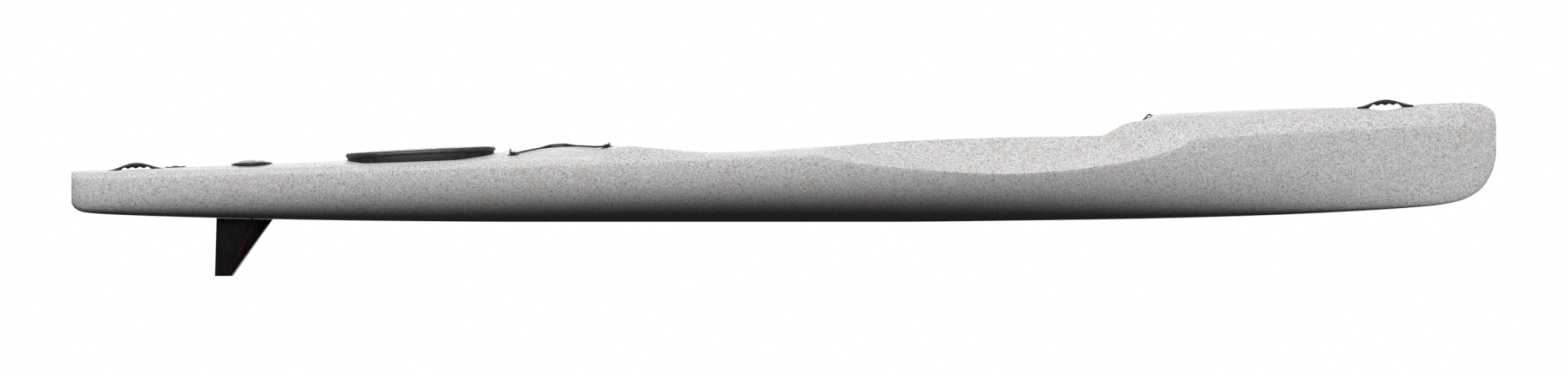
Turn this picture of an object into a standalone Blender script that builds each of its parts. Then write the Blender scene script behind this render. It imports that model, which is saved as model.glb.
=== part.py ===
import math

import bmesh
import bpy
from mathutils import Matrix, Vector
from mathutils.bvhtree import BVHTree

# Surfski, +X to the bow, +Y to port, +Z up, origin on the flat of the keel amidships. Metres.

# Hull moulding
HULL_LENGTH = 4.27
HULL_BEAM = 0.60
HULL_WALL = 0.005
FIT_GAP = 0.0003
HOLLOW_ENDS = (0.012, 0.972)
SHARP_EDGE_STRETCH = 1.2
BOTTOM_STEPS = 4
RIM_ROUND = 0.014
WALL_SHARES = (0.05, 0.48, 0.88, 0.985, 1.0, 1.0)

# Hull lines. Each point is a share of the length from the stern, then metres.
KEEL_LINE = [
    (0.0, 0.058), (0.0012, 0.047), (0.0037, 0.037), (0.0086, 0.029), (0.022, 0.0235), (0.0715, 0.0155),
    (0.1455, 0.0078), (0.225, 0.0026), (0.317, 0.0), (0.5735, 0.0), (0.677, 0.0045), (0.757, 0.0100),
    (0.8426, 0.0205), (0.8976, 0.0315), (0.9526, 0.0475), (0.9648, 0.0545), (0.977, 0.0675),
    (0.9893, 0.099), (0.9966, 0.146), (0.9991, 0.180), (1.0, 0.210),
]
DECK_LINE = [
    (0.0, 0.146), (0.0012, 0.1505), (0.0134, 0.154), (0.0245, 0.155), (0.066, 0.1625), (0.1455, 0.175),
    (0.1883, 0.183), (0.2984, 0.206), (0.329, 0.2245), (0.35, 0.2285), (0.3779, 0.2324), (0.402, 0.2245),
    (0.4512, 0.209), (0.5245, 0.2245), (0.5857, 0.2428), (0.659, 0.2535), (0.7228, 0.2585),
    (0.7325, 0.2783), (0.7392, 0.2927), (0.7526, 0.3063), (0.7624, 0.3225), (0.8059, 0.3316),
    (0.867, 0.342), (0.9587, 0.3551), (0.977, 0.3577), (0.9893, 0.3525), (0.9966, 0.3368),
    (0.9991, 0.3212), (1.0, 0.287),
]
CHINE_LINE = [
    (0.0, 0.1305), (0.0795, 0.1385), (0.2415, 0.1577), (0.4023, 0.1794), (0.521, 0.2005), (0.65, 0.226),
    (0.7912, 0.2507), (0.8713, 0.2695), (0.977, 0.288), (0.9966, 0.2765), (1.0, 0.258),
]
PADDLE_SCOOP_LINE = [
    (0.521, 0.0), (0.5245, 0.005), (0.5362, 0.016), (0.5582, 0.034), (0.5894, 0.054), (0.6206, 0.070),
    (0.661, 0.083), (0.6879, 0.0815), (0.7142, 0.0743), (0.7411, 0.0605), (0.7619, 0.0437),
    (0.7802, 0.0199), (0.7885, 0.005), (0.7912, 0.0),
]
HALF_BEAM_SHARES = [
    (0.0, 0.10), (0.0012, 0.125), (0.0037, 0.155), (0.0086, 0.19), (0.022, 0.245), (0.0715, 0.345),
    (0.13, 0.455), (0.2, 0.58), (0.3, 0.745), (0.4, 0.90), (0.47, 0.985), (0.52, 1.0), (0.57, 0.985),
    (0.65, 0.875), (0.73, 0.70), (0.8, 0.52), (0.87, 0.335), (0.93, 0.19), (0.965, 0.11),
    (0.9893, 0.05), (1.0, 0.018),
]
RIM_LINE = [
    (0.0, 0.014), (0.0086, 0.032), (0.03, 0.046), (0.1, 0.07), (0.2, 0.10), (0.3, 0.135), (0.36, 0.168),
    (0.40, 0.198), (0.45, 0.215), (0.5, 0.211), (0.56, 0.191), (0.62, 0.171), (0.66, 0.158),
    (0.725, 0.148), (0.76, 0.122), (0.79, 0.096), (0.83, 0.072), (0.9, 0.040), (0.96, 0.018), (1.0, 0.0025),
]
CROWN_LINE = [(0.0, 1.0), (0.37, 1.0), (0.41, 0.0), (0.727, 0.0), (0.785, 1.0), (1.0, 1.0)]
BULGE_LINE = [
    (0.0, 0.003), (0.3, 0.008), (0.45, 0.004), (0.521, 0.002), (0.57, -0.009), (0.68, -0.013),
    (0.75, -0.006), (0.80, 0.012), (0.9, 0.011), (1.0, 0.002),
]
FULLNESS_LINE = [(0.0, 1.9), (0.25, 2.15), (0.5, 2.3), (0.7, 2.1), (0.85, 1.75), (1.0, 1.6)]
KEEL_FLAT_LINE = [
    (0.0, 0.006), (0.1, 0.008), (0.317, 0.020), (0.5735, 0.020), (0.8, 0.010), (0.972, 0.0062), (1.0, 0.0015),
]
COCKPIT_FLOOR_LINE = [
    (0.3779, 0.2324), (0.390, 0.224), (0.3975, 0.203), (0.406, 0.155), (0.416, 0.106), (0.429, 0.067),
    (0.443, 0.054), (0.468, 0.054), (0.49, 0.068), (0.52, 0.096), (0.548, 0.106), (0.58, 0.090),
    (0.606, 0.060), (0.622, 0.048), (0.721, 0.048), (0.727, 0.062), (0.732, 0.115), (0.737, 0.195),
    (0.742, 0.268), (0.7455, 0.2985),
]
COCKPIT_WALL_LEAN_LINE = [
    (0.36, 0.05), (0.45, 0.052), (0.52, 0.034), (0.60, 0.020), (0.73, 0.016), (0.78, 0.02),
]
STATIONS = [
    0.0, 0.0012, 0.0037, 0.0086, 0.0170, 0.030, 0.037, 0.0453, 0.0536, 0.061, 0.085, 0.113, 0.1455,
    0.185, 0.225, 0.265, 0.305, 0.3295, 0.3520, 0.3779, 0.390, 0.3975, 0.406, 0.416, 0.429,
    0.443, 0.468, 0.49, 0.5055, 0.521, 0.5265, 0.5362, 0.5470, 0.5582, 0.5735, 0.5894, 0.606, 0.622,
    0.641, 0.661, 0.6879, 0.7055, 0.721, 0.727, 0.732, 0.737, 0.742, 0.7455, 0.754, 0.7624, 0.772, 0.7802,
    0.7912, 0.8059, 0.825, 0.8500, 0.880, 0.9070, 0.9140, 0.9190, 0.9256, 0.9306, 0.9376,
    0.9526, 0.9690, 0.9810, 0.9893, 0.9950, 0.9985, 1.0,
]

# Where the fittings sit, as shares of the length from the stern
STERN_HANDLE_STATION = 0.0453
RUDDER_STATION = 0.1266
HATCH_STATION = 0.2452
BUNGEE_STATIONS = (0.310, 0.3758)
LEASH_EYE_STATION = 0.7557
BOW_HANDLE_STATION = 0.9223
BAILER_STATION = 0.6095

# Carry handles
HANDLE_LENGTH = 0.170
HANDLE_WIDTH = 0.024
HANDLE_RISE = 0.0185
HANDLE_ARCH_POWER = 0.7
HANDLE_ARCH_STEPS = 12
HANDLE_EDGE_ROUND = 0.0028
HANDLE_ROOT = 0.012
HANDLE_SCREW_LENGTH = 0.018
HANDLE_FOOT_LENGTH = 0.030
HANDLE_FOOT_THICKNESS = 0.0045
FINGER_PITCH = 0.022
FINGER_COUNT = 4
FINGER_RIDGE_HEIGHT = 0.0012
FINGER_GROOVE_HEIGHT = 0.0040
FINGER_ARCH = 0.0012
HAND_RECESS_DEPTH = 0.014
HAND_RECESS_LENGTH = 0.112

# Screws
SCREW_RADIUS = 0.0020
SCREW_HEAD_RADIUS = 0.0042
SCREW_HEAD_HEIGHT = 0.0022
SCREW_SIDES = 8
SCREW_RECESS_GAP = 0.001
SCREW_BITE = 0.010
TRIM_SCREW_RADIUS = 0.0014
TRIM_SCREW_LENGTH = 0.010
CUTTER_REACH = 0.02

# Rear hatch
HATCH_LENGTH = 0.449
HATCH_WIDTH = 0.270
HATCH_RIM_BAND = 0.026
HATCH_RIM_HEIGHT = 0.017
HATCH_RIM_ROOT = 0.034
HATCH_RUNNING_GAP = 0.0005
HATCH_LIP_OVERHANG = 0.004
HATCH_LIP_DEPTH = 0.014
HATCH_COVER_THICKNESS = 0.0045
HATCH_CROWN = 0.004
HATCH_EDGE_ROUND = 0.002
HATCH_ENDS_POWER = 2.6
OVAL_SIDES = 28

# Rudder port
PORT_RING_RADIUS = 0.062
PORT_OPENING_RADIUS = 0.046
PORT_RING_HEIGHT = 0.0035
PORT_RING_ROOT = 0.014
PORT_CAP_RADIUS = 0.055
PORT_CAP_HEIGHT = 0.0115
PORT_CAP_EDGE = 0.0025
PORT_CAP_THICKNESS = 0.006
PORT_PLUG_DEPTH = 0.012
PORT_PLUG_GAP = 0.0006
PORT_WALL = 0.003
PORT_SEAL_RADIUS = 0.0014
PORT_SEAL_STEPS = 6
PORT_SCREW_COUNT = 4
PORT_SCREW_RADIUS = 0.0011
PORT_SCREW_LENGTH = 0.010
FINGER_RECESS_OFFSET = 0.026
FINGER_RECESS_RADIUS = 0.0135
FINGER_RECESS_DEPTH = 0.004
FINGER_RECESS_STRETCH = (0.7, 1.6)

# Drain fitting
DRAIN_LENGTH = 0.064
DRAIN_HANDLE_GAP = 0.000852
DRAIN_WIDTH = 0.030
DRAIN_THICKNESS = 0.0024
DRAIN_ROOT = 0.008
DRAIN_ENDS_POWER = 2.3
DRAIN_SIDES = 20
DRAIN_SCREW_INSET = 0.008
DRAIN_BORE_RADIUS = 0.007
DRAIN_KNOB_RADIUS = 0.0112
DRAIN_KNOB_HEIGHT = 0.0042
DRAIN_KNOB_GRIP = 0.0044
DRAIN_PLUG_DEPTH = 0.010
DRAIN_PLUG_GAP = 0.0006

# Rudder
BLADE_DEPTH = 0.169
BLADE_LEADING_TOP = 0.063
BLADE_TRAILING_TOP = -0.106
BLADE_LEADING_TIP = -0.057
BLADE_TRAILING_TIP = -0.111
BLADE_THICKNESS = 0.0145
BLADE_TIP_THICKNESS = 0.0045
BLADE_GAP = 0.003
SHAFT_RADIUS = 0.004
SHAFT_REACH_DOWN = 0.085
SHAFT_CLEARANCE = 0.00012
BUSH_WALL = 0.003
BUSH_LENGTH = 0.014
BUSH_FLANGE = 0.0022
RUDDER_TUBE_WALL = 0.003
RUDDER_TUBE_TOP = 0.070
TILLER_THICKNESS = 0.010
TILLER_HUB_RADIUS = 0.012
TILLER_ARM = 0.042
TILLER_ARM_WIDTH = 0.010
TILLER_EYE_RADIUS = 0.003
SET_SCREW_RADIUS = 0.002
SET_SCREW_STANDOUT = 0.002
SHAFT_END_ABOVE_TILLER = 0.004
SHAFT_CHAMFER = 0.0008
BLADE_STEPS_ALONG = 9
BLADE_STEPS_DOWN = 6

# Rudder lines, with the route of the port one by hand: the starboard one mirrors it.
# Each point is metres along, a share of the half beam, metres up.
LINE_RADIUS = 0.0015
CONDUIT_RADIUS = 0.0036
CONDUIT_WALL = 0.0016
CONDUIT_ROUTE = [
    (-1.455, 0.153, 0.083), (-1.37, 0.247, 0.088), (-1.26, 0.400, 0.095), (-1.12, 0.500, 0.102),
    (-0.95, 0.587, 0.110), (-0.75, 0.673, 0.118), (-0.50, 0.783, 0.126), (-0.25, 0.843, 0.132),
    (0.0, 0.840, 0.138), (0.15, 0.787, 0.142), (0.27, 0.700, 0.145), (0.35, 0.593, 0.147),
]
FAIRLEAD_STATION = 0.5985
FAIRLEAD_HEIGHT = 0.150
FAIRLEAD_REACH = (0.012, 0.008)
LINE_CURVE_STEPS = 2

# Deck bungee
BUNGEE_RADIUS = 0.0026
BUNGEE_HALF_SPREAD = (0.100, 0.110)
BUNGEE_POST_RADIUS = 0.0048
BUNGEE_POST_HEIGHT = 0.0095
BUNGEE_BASE_RADIUS = 0.0130
BUNGEE_BASE_HEIGHT = 0.0024
BUNGEE_POST_ROOT = 0.004
BUNGEE_CAP_RADIUS = 0.0092
BUNGEE_CAP_HEIGHT = 0.0030
BUNGEE_CAP_CHAMFER = 0.0016
BUNGEE_ARC_STEPS = 5
BUNGEE_RUN_STEPS = 8
BUNGEE_SEAT_GAP = 0.0006
BUNGEE_REST_REACH = 0.007

# Leash eye
LEASH_BASE_LENGTH = 0.038
LEASH_BASE_WIDTH = 0.014
LEASH_BASE_THICKNESS = 0.0028
LEASH_BASE_ROOT = 0.006
LEASH_SCREW_INSET = 0.0045
LEASH_LOOP_SPAN = 0.020
LEASH_LOOP_RISE = 0.0145
LEASH_WIRE_RADIUS = 0.0024
LEASH_ARC_STEPS = 8

# Footboard on its floor track
TRACK_STATIONS = (0.6260, 0.7180)
TRACK_BASE_WIDTH = 0.036
TRACK_BASE_THICKNESS = 0.003
TRACK_NECK_WIDTH = 0.010
TRACK_HEIGHT = 0.014
TRACK_HEAD_WIDTH = 0.024
TRACK_HEAD_THICKNESS = 0.004
TRACK_SCREW_INSET = 0.012
CARRIAGE_LENGTH = 0.074
CARRIAGE_WIDTH = 0.040
CARRIAGE_WALL = 0.005
CARRIAGE_CLEARANCE = 0.0004
CARRIAGE_OFFSET = 0.045
BOARD_STATION = 0.6765
BOARD_TILT = math.radians(24)
BOARD_WIDTH = 0.204
BOARD_HEIGHT = 0.140
BOARD_THICKNESS = 0.008
BOARD_CORNER = 0.028
BOARD_FLOOR_GAP = 0.006
BOARD_FOOT_LENGTH = 0.034
BOARD_FOOT_WIDTH = 0.032
BOARD_FOOT_HEIGHT = 0.060
PEDAL_HEIGHT = 0.072
PEDAL_THICKNESS = 0.006
PEDAL_CORNER = 0.018
PEDAL_SIDE_GAP = 0.0006
PEDAL_PIN_RADIUS = 0.003
PEDAL_PIN_CLEARANCE = 0.00012
PEDAL_KNUCKLE_RADIUS = 0.0062
PEDAL_PIN_STANDOUT = 0.002
LUG_WIDTH = 0.008
LUG_COUNT = 3
PEDAL_EYE_RADIUS = 0.003
PEDAL_EYE_HEIGHT = 0.050
PEDAL_EYE_INSET = 0.009
CLAMP_SCREW_RADIUS = 0.003
CLAMP_KNOB_RADIUS = 0.0108
CLAMP_KNOB_THICKNESS = 0.010
CLAMP_KNOB_LOBES = 5
CLAMP_KNOB_LOBE_DEPTH = 0.1
CLAMP_SCREW_GAP = 0.0002
CLAMP_STEM_SHOWING = 0.012
STRAP_WIDTH = 0.038
STRAP_THICKNESS = 0.0026
STRAP_REACH = 0.070
STRAP_HEIGHT = 0.092
STRAP_END_INSET = 0.006
STRAP_ARCH_STEPS = 8
STRAP_ARCH_POWER = 0.8

# Bailer
BAILER_LENGTH = 0.070
BAILER_WIDTH = 0.038
BAILER_WALL = 0.003
BAILER_FLANGE = 0.012
BAILER_FLANGE_THICKNESS = 0.0025
BAILER_PIN_RADIUS = 0.0018
BAILER_PIN_INSET = 0.008
BAILER_PIN_HEIGHT = 0.010
BAILER_PIN_GAP = 0.0001
BAILER_PIN_SEAT = 0.002
BAILER_FLANGE_ROOT = 0.010
BAILER_EAR_WIDTH = 0.004
BAILER_EAR_HALF_LENGTH = 0.0048
BAILER_EAR_TOP = 0.0045
BAILER_FLAP_THICKNESS = 0.003
BAILER_LEVER_RISE = 0.066
BAILER_LEVER_WIDTH = 0.010
BAILER_LEVER_THICKNESS = 0.008
BAILER_LEVER_ROUND = 0.001
BAILER_CLEARANCE = 0.0008

# Foam
FOAM_HALF_THICKNESS = 0.026
FRONT_FOAM_STATIONS = (0.775, 0.872)
REAR_FOAM_STATIONS = (0.318, 0.352)
SEAT_FOAM_STATIONS = (0.436, 0.486)
SEAT_FOAM_HALF_WIDTH = 0.070
SEAT_FOAM_TOP = 0.12

ROUND_SIDES = 20
SMALL_SIDES = 12

COLOURS = {
    "hull": ((0.70, 0.695, 0.685), 0.45, 0.0),
    "foam": ((0.16, 0.16, 0.17), 0.95, 0.0),
    "fitting": ((0.022, 0.022, 0.024), 0.42, 0.0),
    "rubber": ((0.030, 0.030, 0.032), 0.70, 0.0),
    "bungee": ((0.020, 0.020, 0.022), 0.85, 0.0),
    "blade": ((0.012, 0.012, 0.013), 0.18, 0.0),
    "stainless": ((0.62, 0.62, 0.63), 0.25, 1.0),
    "aluminium": ((0.45, 0.46, 0.47), 0.35, 1.0),
    "nylon": ((0.80, 0.80, 0.78), 0.50, 0.0),
    "conduit": ((0.72, 0.73, 0.74), 0.40, 0.0),
    "line": ((0.78, 0.77, 0.72), 0.80, 0.0),
    "webbing": ((0.035, 0.035, 0.038), 0.90, 0.0),
}


# Scene set-up

def clear_scene():
    for item in list(bpy.data.objects):
        bpy.data.objects.remove(item, do_unlink=True)


def new_collection(name):
    collection = bpy.data.collections.new(name)
    bpy.context.scene.collection.children.link(collection)
    return collection


def make_material(name):
    colour, roughness, metallic = COLOURS[name]
    material = bpy.data.materials.new(name)
    material.use_nodes = True
    shader = material.node_tree.nodes["Principled BSDF"]
    shader.inputs["Base Color"].default_value = (*colour, 1.0)
    shader.inputs["Roughness"].default_value = roughness
    shader.inputs["Metallic"].default_value = metallic
    material.diffuse_color = (*colour, 1.0)
    return material


clear_scene()
parts = new_collection("surfski")
cutters = new_collection("surfski_cutters")
materials = {name: make_material(name) for name in COLOURS}


# Objects from meshes, curves and profiles

def add_object(name, data, material=None, matrix=Matrix(), smooth=True):
    item = bpy.data.objects.new(name, data)
    item.matrix_world = matrix
    if material is None:
        cutters.objects.link(item)
        item.hide_render = True
        item.display_type = "WIRE"
    else:
        parts.objects.link(item)
        own = materials[material].copy()
        own.name = name
        data.materials.append(own)
        if smooth and isinstance(data, bpy.types.Mesh):
            data.shade_smooth()
            data.set_sharp_from_angle(angle=math.radians(40))
    return item


def mesh_data(name, mesh):
    data = bpy.data.meshes.new(name)
    bmesh.ops.recalc_face_normals(mesh, faces=mesh.faces[:])
    mesh.to_mesh(data)
    mesh.free()
    return data


def box(name, low, high, material=None, matrix=Matrix(), round_edge=0.0):
    mesh = bmesh.new()
    low, high = Vector(low), Vector(high)
    size = high - low
    place = Matrix.Translation((low + high) / 2) @ Matrix.Diagonal((*size, 1.0))
    bmesh.ops.create_cube(mesh, size=1.0, matrix=place)
    item = add_object(name, mesh_data(name, mesh), material, matrix)
    if round_edge:
        add_bevel(item, round_edge)
    return item


def cylinder(name, radius, low, high, material=None, matrix=Matrix(), sides=ROUND_SIDES):
    mesh = bmesh.new()
    place = Matrix.Translation((0, 0, (low + high) / 2))
    bmesh.ops.create_cone(
        mesh, cap_ends=True, segments=sides, radius1=radius, radius2=radius, depth=high - low, matrix=place
    )
    return add_object(name, mesh_data(name, mesh), material, matrix)


def turned(name, profile, material=None, matrix=Matrix(), sides=ROUND_SIDES):
    mesh = bmesh.new()
    points = [mesh.verts.new((radius, 0, height)) for radius, height in profile]
    for start, end in zip(points, points[1:]):
        mesh.edges.new((start, end))
    if profile[0][0] > 0:
        mesh.edges.new((points[-1], points[0]))
    data = bpy.data.meshes.new(name)
    mesh.to_mesh(data)
    mesh.free()
    item = add_object(name, data, material, matrix)
    screw = item.modifiers.new("turn", "SCREW")
    screw.steps = sides
    screw.render_steps = sides
    screw.use_merge_vertices = True
    screw.merge_threshold = 0.00001
    return item


def curve_data(name, points, cyclic=False):
    data = bpy.data.curves.new(name, "CURVE")
    spline = data.splines.new("POLY")
    spline.points.add(len(points) - 1)
    for place, point in zip(spline.points, points):
        place.co = (*point, 1.0)
    spline.use_cyclic_u = cyclic
    return data


def as_mesh(item, name, material=None, smooth=True):
    bpy.context.view_layer.update()
    shape = item.evaluated_get(bpy.context.evaluated_depsgraph_get())
    data = bpy.data.meshes.new_from_object(shape)
    data.materials.clear()
    mesh = bmesh.new()
    mesh.from_mesh(data)
    bmesh.ops.remove_doubles(mesh, verts=mesh.verts[:], dist=0.00001)
    bmesh.ops.recalc_face_normals(mesh, faces=mesh.faces[:])
    mesh.to_mesh(data)
    mesh.free()
    matrix = item.matrix_world.copy()
    bpy.data.objects.remove(item, do_unlink=True)
    return add_object(name, data, material, matrix, smooth)


def plate(name, outline, thickness, material=None, matrix=Matrix(), holes=(), round_edge=0.0):
    data = curve_data(name, [(x, y, 0) for x, y in outline], cyclic=True)
    for hole in holes:
        spline = data.splines.new("POLY")
        spline.points.add(len(hole) - 1)
        for place, (x, y) in zip(spline.points, hole):
            place.co = (x, y, 0, 1.0)
        spline.use_cyclic_u = True
    data.dimensions = "2D"
    data.fill_mode = "BOTH"
    data.extrude = thickness / 2
    item = as_mesh(add_object(name + "_outline", data, None, matrix), name, material)
    if round_edge:
        add_bevel(item, round_edge)
    return item


def tube(name, points, radius, material=None, cyclic=False, resolution=2):
    data = curve_data(name, points, cyclic)
    data.dimensions = "3D"
    data.bevel_depth = radius
    data.bevel_resolution = resolution
    data.use_fill_caps = not cyclic
    return add_object(name, data, material)


def add_bevel(item, width, segments=1, angle=40):
    bevel = item.modifiers.new("rounded edges", "BEVEL")
    bevel.width = width
    bevel.segments = segments
    bevel.limit_method = "ANGLE"
    bevel.angle_limit = math.radians(angle)
    return bevel


def cut(item, cutter):
    boolean = item.modifiers.new("cut", "BOOLEAN")
    boolean.operation = "DIFFERENCE"
    boolean.object = cutter
    return item


def join(item, other):
    boolean = item.modifiers.new("join", "BOOLEAN")
    boolean.operation = "UNION"
    boolean.object = other
    return item


def keep_inside(item, other):
    boolean = item.modifiers.new("keep inside", "BOOLEAN")
    boolean.operation = "INTERSECT"
    boolean.object = other
    return item


def rounded_rectangle(length, width, corner, steps=4):
    points = []
    for index, (side_x, side_y) in enumerate(((1, 1), (-1, 1), (-1, -1), (1, -1))):
        for step in range(steps + 1):
            angle = math.radians(90 * (index + step / steps))
            x = side_x * (length / 2 - corner) + corner * math.cos(angle)
            y = side_y * (width / 2 - corner) + corner * math.sin(angle)
            points.append((x, y))
    return points


def round_outline(radius, sides=SMALL_SIDES, centre=(0.0, 0.0)):
    angles = [2 * math.pi * step / sides for step in range(sides)]
    return [(centre[0] + radius * math.cos(a), centre[1] + radius * math.sin(a)) for a in angles]


def oval_outline(length, width, power, sides=OVAL_SIDES):
    points = []
    for step in range(sides):
        angle = 2 * math.pi * step / sides
        c, s = math.cos(angle), math.sin(angle)
        x = length / 2 * math.copysign(abs(c) ** (2 / power), c)
        y = width / 2 * math.copysign(abs(s) ** (2 / power), s)
        points.append((x, y))
    return points


# Hull form

def line_at(points, share):
    if share <= points[0][0]:
        return points[0][1]
    if share >= points[-1][0]:
        return points[-1][1]
    index = max(i for i in range(len(points) - 1) if points[i][0] <= share)
    (x0, y0), (x1, y1) = points[index], points[index + 1]
    width = x1 - x0
    t = (share - x0) / width
    low, high = line_slope(points, index) * width, line_slope(points, index + 1) * width
    return (
        (2 * t ** 3 - 3 * t ** 2 + 1) * y0 + (t ** 3 - 2 * t ** 2 + t) * low
        + (3 * t ** 2 - 2 * t ** 3) * y1 + (t ** 3 - t ** 2) * high
    )


def line_slope(points, index):
    if index in (0, len(points) - 1):
        return 0.0 if index == 0 and points[0][1] == points[1][1] else end_slope(points, index)
    before = (points[index][1] - points[index - 1][1]) / (points[index][0] - points[index - 1][0])
    after = (points[index + 1][1] - points[index][1]) / (points[index + 1][0] - points[index][0])
    if before * after <= 0:
        return 0.0
    return 2 * before * after / (before + after)


def end_slope(points, index):
    a, b = (points[0], points[1]) if index == 0 else (points[-2], points[-1])
    return (b[1] - a[1]) / (b[0] - a[0])


def station_x(share):
    return (share - 0.5) * HULL_LENGTH


def hump(share, centre, length):
    distance = abs(share - centre) * HULL_LENGTH / (length / 2)
    return 0.5 + 0.5 * math.cos(math.pi * min(distance, 1.0))


def hull_section(share):
    chine_y = line_at(HALF_BEAM_SHARES, share) * HULL_BEAM / 2
    chine_z = line_at(CHINE_LINE, share)
    keel_z = line_at(KEEL_LINE, share)
    keel_y = min(line_at(KEEL_FLAT_LINE, share), 0.5 * chine_y)
    power = 2 / line_at(FULLNESS_LINE, share)
    scoop = line_at(PADDLE_SCOOP_LINE, share)
    crease = math.acos((scoop / (chine_z - keel_z)) ** (1 / power)) if scoop > 0 else math.pi / 2
    points = []
    for step in range(BOTTOM_STEPS + 1):
        angle = crease * step / BOTTOM_STEPS
        y = keel_y + (chine_y - keel_y) * math.sin(angle) ** power
        z = chine_z - (chine_z - keel_z) * max(math.cos(angle), 0.0) ** power
        points.append((y, z))
    crease_y, crease_z = points[-1]

    bow_scoop = HAND_RECESS_DEPTH * hump(share, BOW_HANDLE_STATION, HAND_RECESS_LENGTH)
    deck_z = line_at(DECK_LINE, share) - bow_scoop
    rim_y = min(line_at(RIM_LINE, share), 0.8 * crease_y)
    rim_z = deck_z - line_at(CROWN_LINE, share) * (deck_z - crease_z) * (rim_y / crease_y) ** 2
    middle_y = (crease_y + rim_y) / 2
    middle_z = (crease_z + rim_z) / 2 + line_at(BULGE_LINE, share)
    round_y = min(RIM_ROUND, 0.3 * rim_y, 0.4 * (middle_y - rim_y))
    points.append((middle_y, middle_z))
    edge_z = rim_z + 0.7 * (middle_z - rim_z) * round_y / (middle_y - rim_y)
    points.append((rim_y + round_y, edge_z))
    points.append((rim_y, rim_z))

    inner_y = rim_y - round_y
    lean = min(line_at(COCKPIT_WALL_LEAN_LINE, share), 0.4 * inner_y)
    foot_y = inner_y - lean
    across = (inner_y, inner_y - 0.3 * lean, foot_y, 0.8 * foot_y, 0.42 * foot_y, 0.0)
    depth = recess_depth(share, deck_z)
    for y, wall_share in zip(across, WALL_SHARES):
        crown_z = rim_z + (deck_z - rim_z) * (1 - (y / rim_y) ** 2)
        points.append((y, crown_z - wall_share * depth))
    return points


def recess_depth(share, deck_z):
    if COCKPIT_FLOOR_LINE[0][0] < share < COCKPIT_FLOOR_LINE[-1][0]:
        return max(deck_z - line_at(COCKPIT_FLOOR_LINE, share), 0.0)
    return HAND_RECESS_DEPTH * hump(share, STERN_HANDLE_STATION, HAND_RECESS_LENGTH)


def hull_skin(inset=0.0, ends=None):
    mesh = bmesh.new()
    loops = []
    for share in STATIONS:
        half = hull_section(share)
        ring = half + [(-y, z) for y, z in reversed(half[:-1])]
        loops.append([mesh.verts.new((station_x(share), y, z)) for y, z in ring])
    for aft, fore in zip(loops, loops[1:]):
        for i in range(len(aft)):
            j = (i + 1) % len(aft)
            mesh.faces.new((aft[i], aft[j], fore[j], fore[i]))
    mesh.faces.new(loops[0])
    mesh.faces.new(loops[-1])
    bmesh.ops.recalc_face_normals(mesh, faces=mesh.faces[:])
    bmesh.ops.triangulate(mesh, faces=mesh.faces[:])
    mesh.normal_update()
    moves = [vert.normal * min(vert.calc_shell_factor(), SHARP_EDGE_STRETCH) * inset for vert in mesh.verts]
    for vert, move in zip(mesh.verts, moves):
        vert.co -= move
    for share, side in zip(ends or (), (-1, 1)):
        cut_off(mesh, station_x(share), side)
    return mesh


def cut_off(mesh, x, side):
    everything = mesh.verts[:] + mesh.edges[:] + mesh.faces[:]
    made = bmesh.ops.bisect_plane(
        mesh, geom=everything, dist=0.000001, plane_co=(x, 0, 0), plane_no=(side, 0, 0), clear_outer=True
    )
    edges = [piece for piece in made["geom_cut"] if isinstance(piece, bmesh.types.BMEdge)]
    filled = bmesh.ops.edgeloop_fill(mesh, edges=edges)
    bmesh.ops.triangulate(mesh, faces=filled["faces"])


skin = hull_skin()
skin_tree = BVHTree.FromBMesh(skin)
fitting_cutter = add_object("hull_clearance", mesh_data("hull_clearance", hull_skin(-FIT_GAP)))


def deck_height(x, y=0.0):
    return skin_tree.ray_cast(Vector((x, y, 1.0)), Vector((0, 0, -1)))[0].z


def keel_height(x, y=0.0):
    return skin_tree.ray_cast(Vector((x, y, -1.0)), Vector((0, 0, 1)))[0].z


def wall_reach(x, z):
    return skin_tree.ray_cast(Vector((x, 0.0, z)), Vector((0, 1, 0)))[0].y


def deck_frame(share, span, y=0.0):
    x = station_x(share)
    aft, fore = deck_height(x - span / 2, y), deck_height(x + span / 2, y)
    height = max((aft + fore) / 2, deck_height(x, y))
    return Matrix.Translation((x, y, height)) @ Matrix.Rotation(-math.atan2(fore - aft, span), 4, "Y")


def deck_normal_frame(x, y):
    place, normal = skin_tree.ray_cast(Vector((x, y, 1.0)), Vector((0, 0, -1)))[:2]
    return Matrix.Translation(place) @ normal.to_track_quat("Z", "Y").to_matrix().to_4x4()


# Holes are gathered here and cut from the hull together

hull_holes = []


def hull_hole(cutter):
    hull_holes.append(cutter)
    return cutter


def merged_cutter(name, items):
    mesh = bmesh.new()
    bpy.context.view_layer.update()
    depsgraph = bpy.context.evaluated_depsgraph_get()
    for item in items:
        data = bpy.data.meshes.new_from_object(item.evaluated_get(depsgraph))
        data.transform(item.matrix_world)
        mesh.from_mesh(data)
        bpy.data.meshes.remove(data)
        bpy.data.objects.remove(item, do_unlink=True)
    return add_object(name, mesh_data(name, mesh))


# Screws

def screw(name, matrix, length, radius=SCREW_RADIUS):
    head = SCREW_HEAD_RADIUS * radius / SCREW_RADIUS
    profile = [
        (0.0, SCREW_HEAD_HEIGHT), (0.7 * head, 0.8 * SCREW_HEAD_HEIGHT), (head, FIT_GAP),
        (radius, FIT_GAP), (radius, -length + radius), (0.0, -length),
    ]
    return turned(name, profile, "stainless", matrix, SCREW_SIDES)


def screw_hole(item, matrix, length, radius=SCREW_RADIUS):
    reach = (radius + FIT_GAP, -length - FIT_GAP, CUTTER_REACH)
    cut(item, cylinder("screw_hole", *reach, None, matrix, SCREW_SIDES))
    hull_hole(cylinder("hull_screw_hole", *reach, None, matrix, SCREW_SIDES))


# Carry handles

def handle_top(x):
    rise = (0.5 + 0.5 * math.cos(2 * math.pi * x / HANDLE_LENGTH)) ** HANDLE_ARCH_POWER
    return HANDLE_FOOT_THICKNESS + (HANDLE_RISE - HANDLE_FOOT_THICKNESS) * rise


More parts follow.
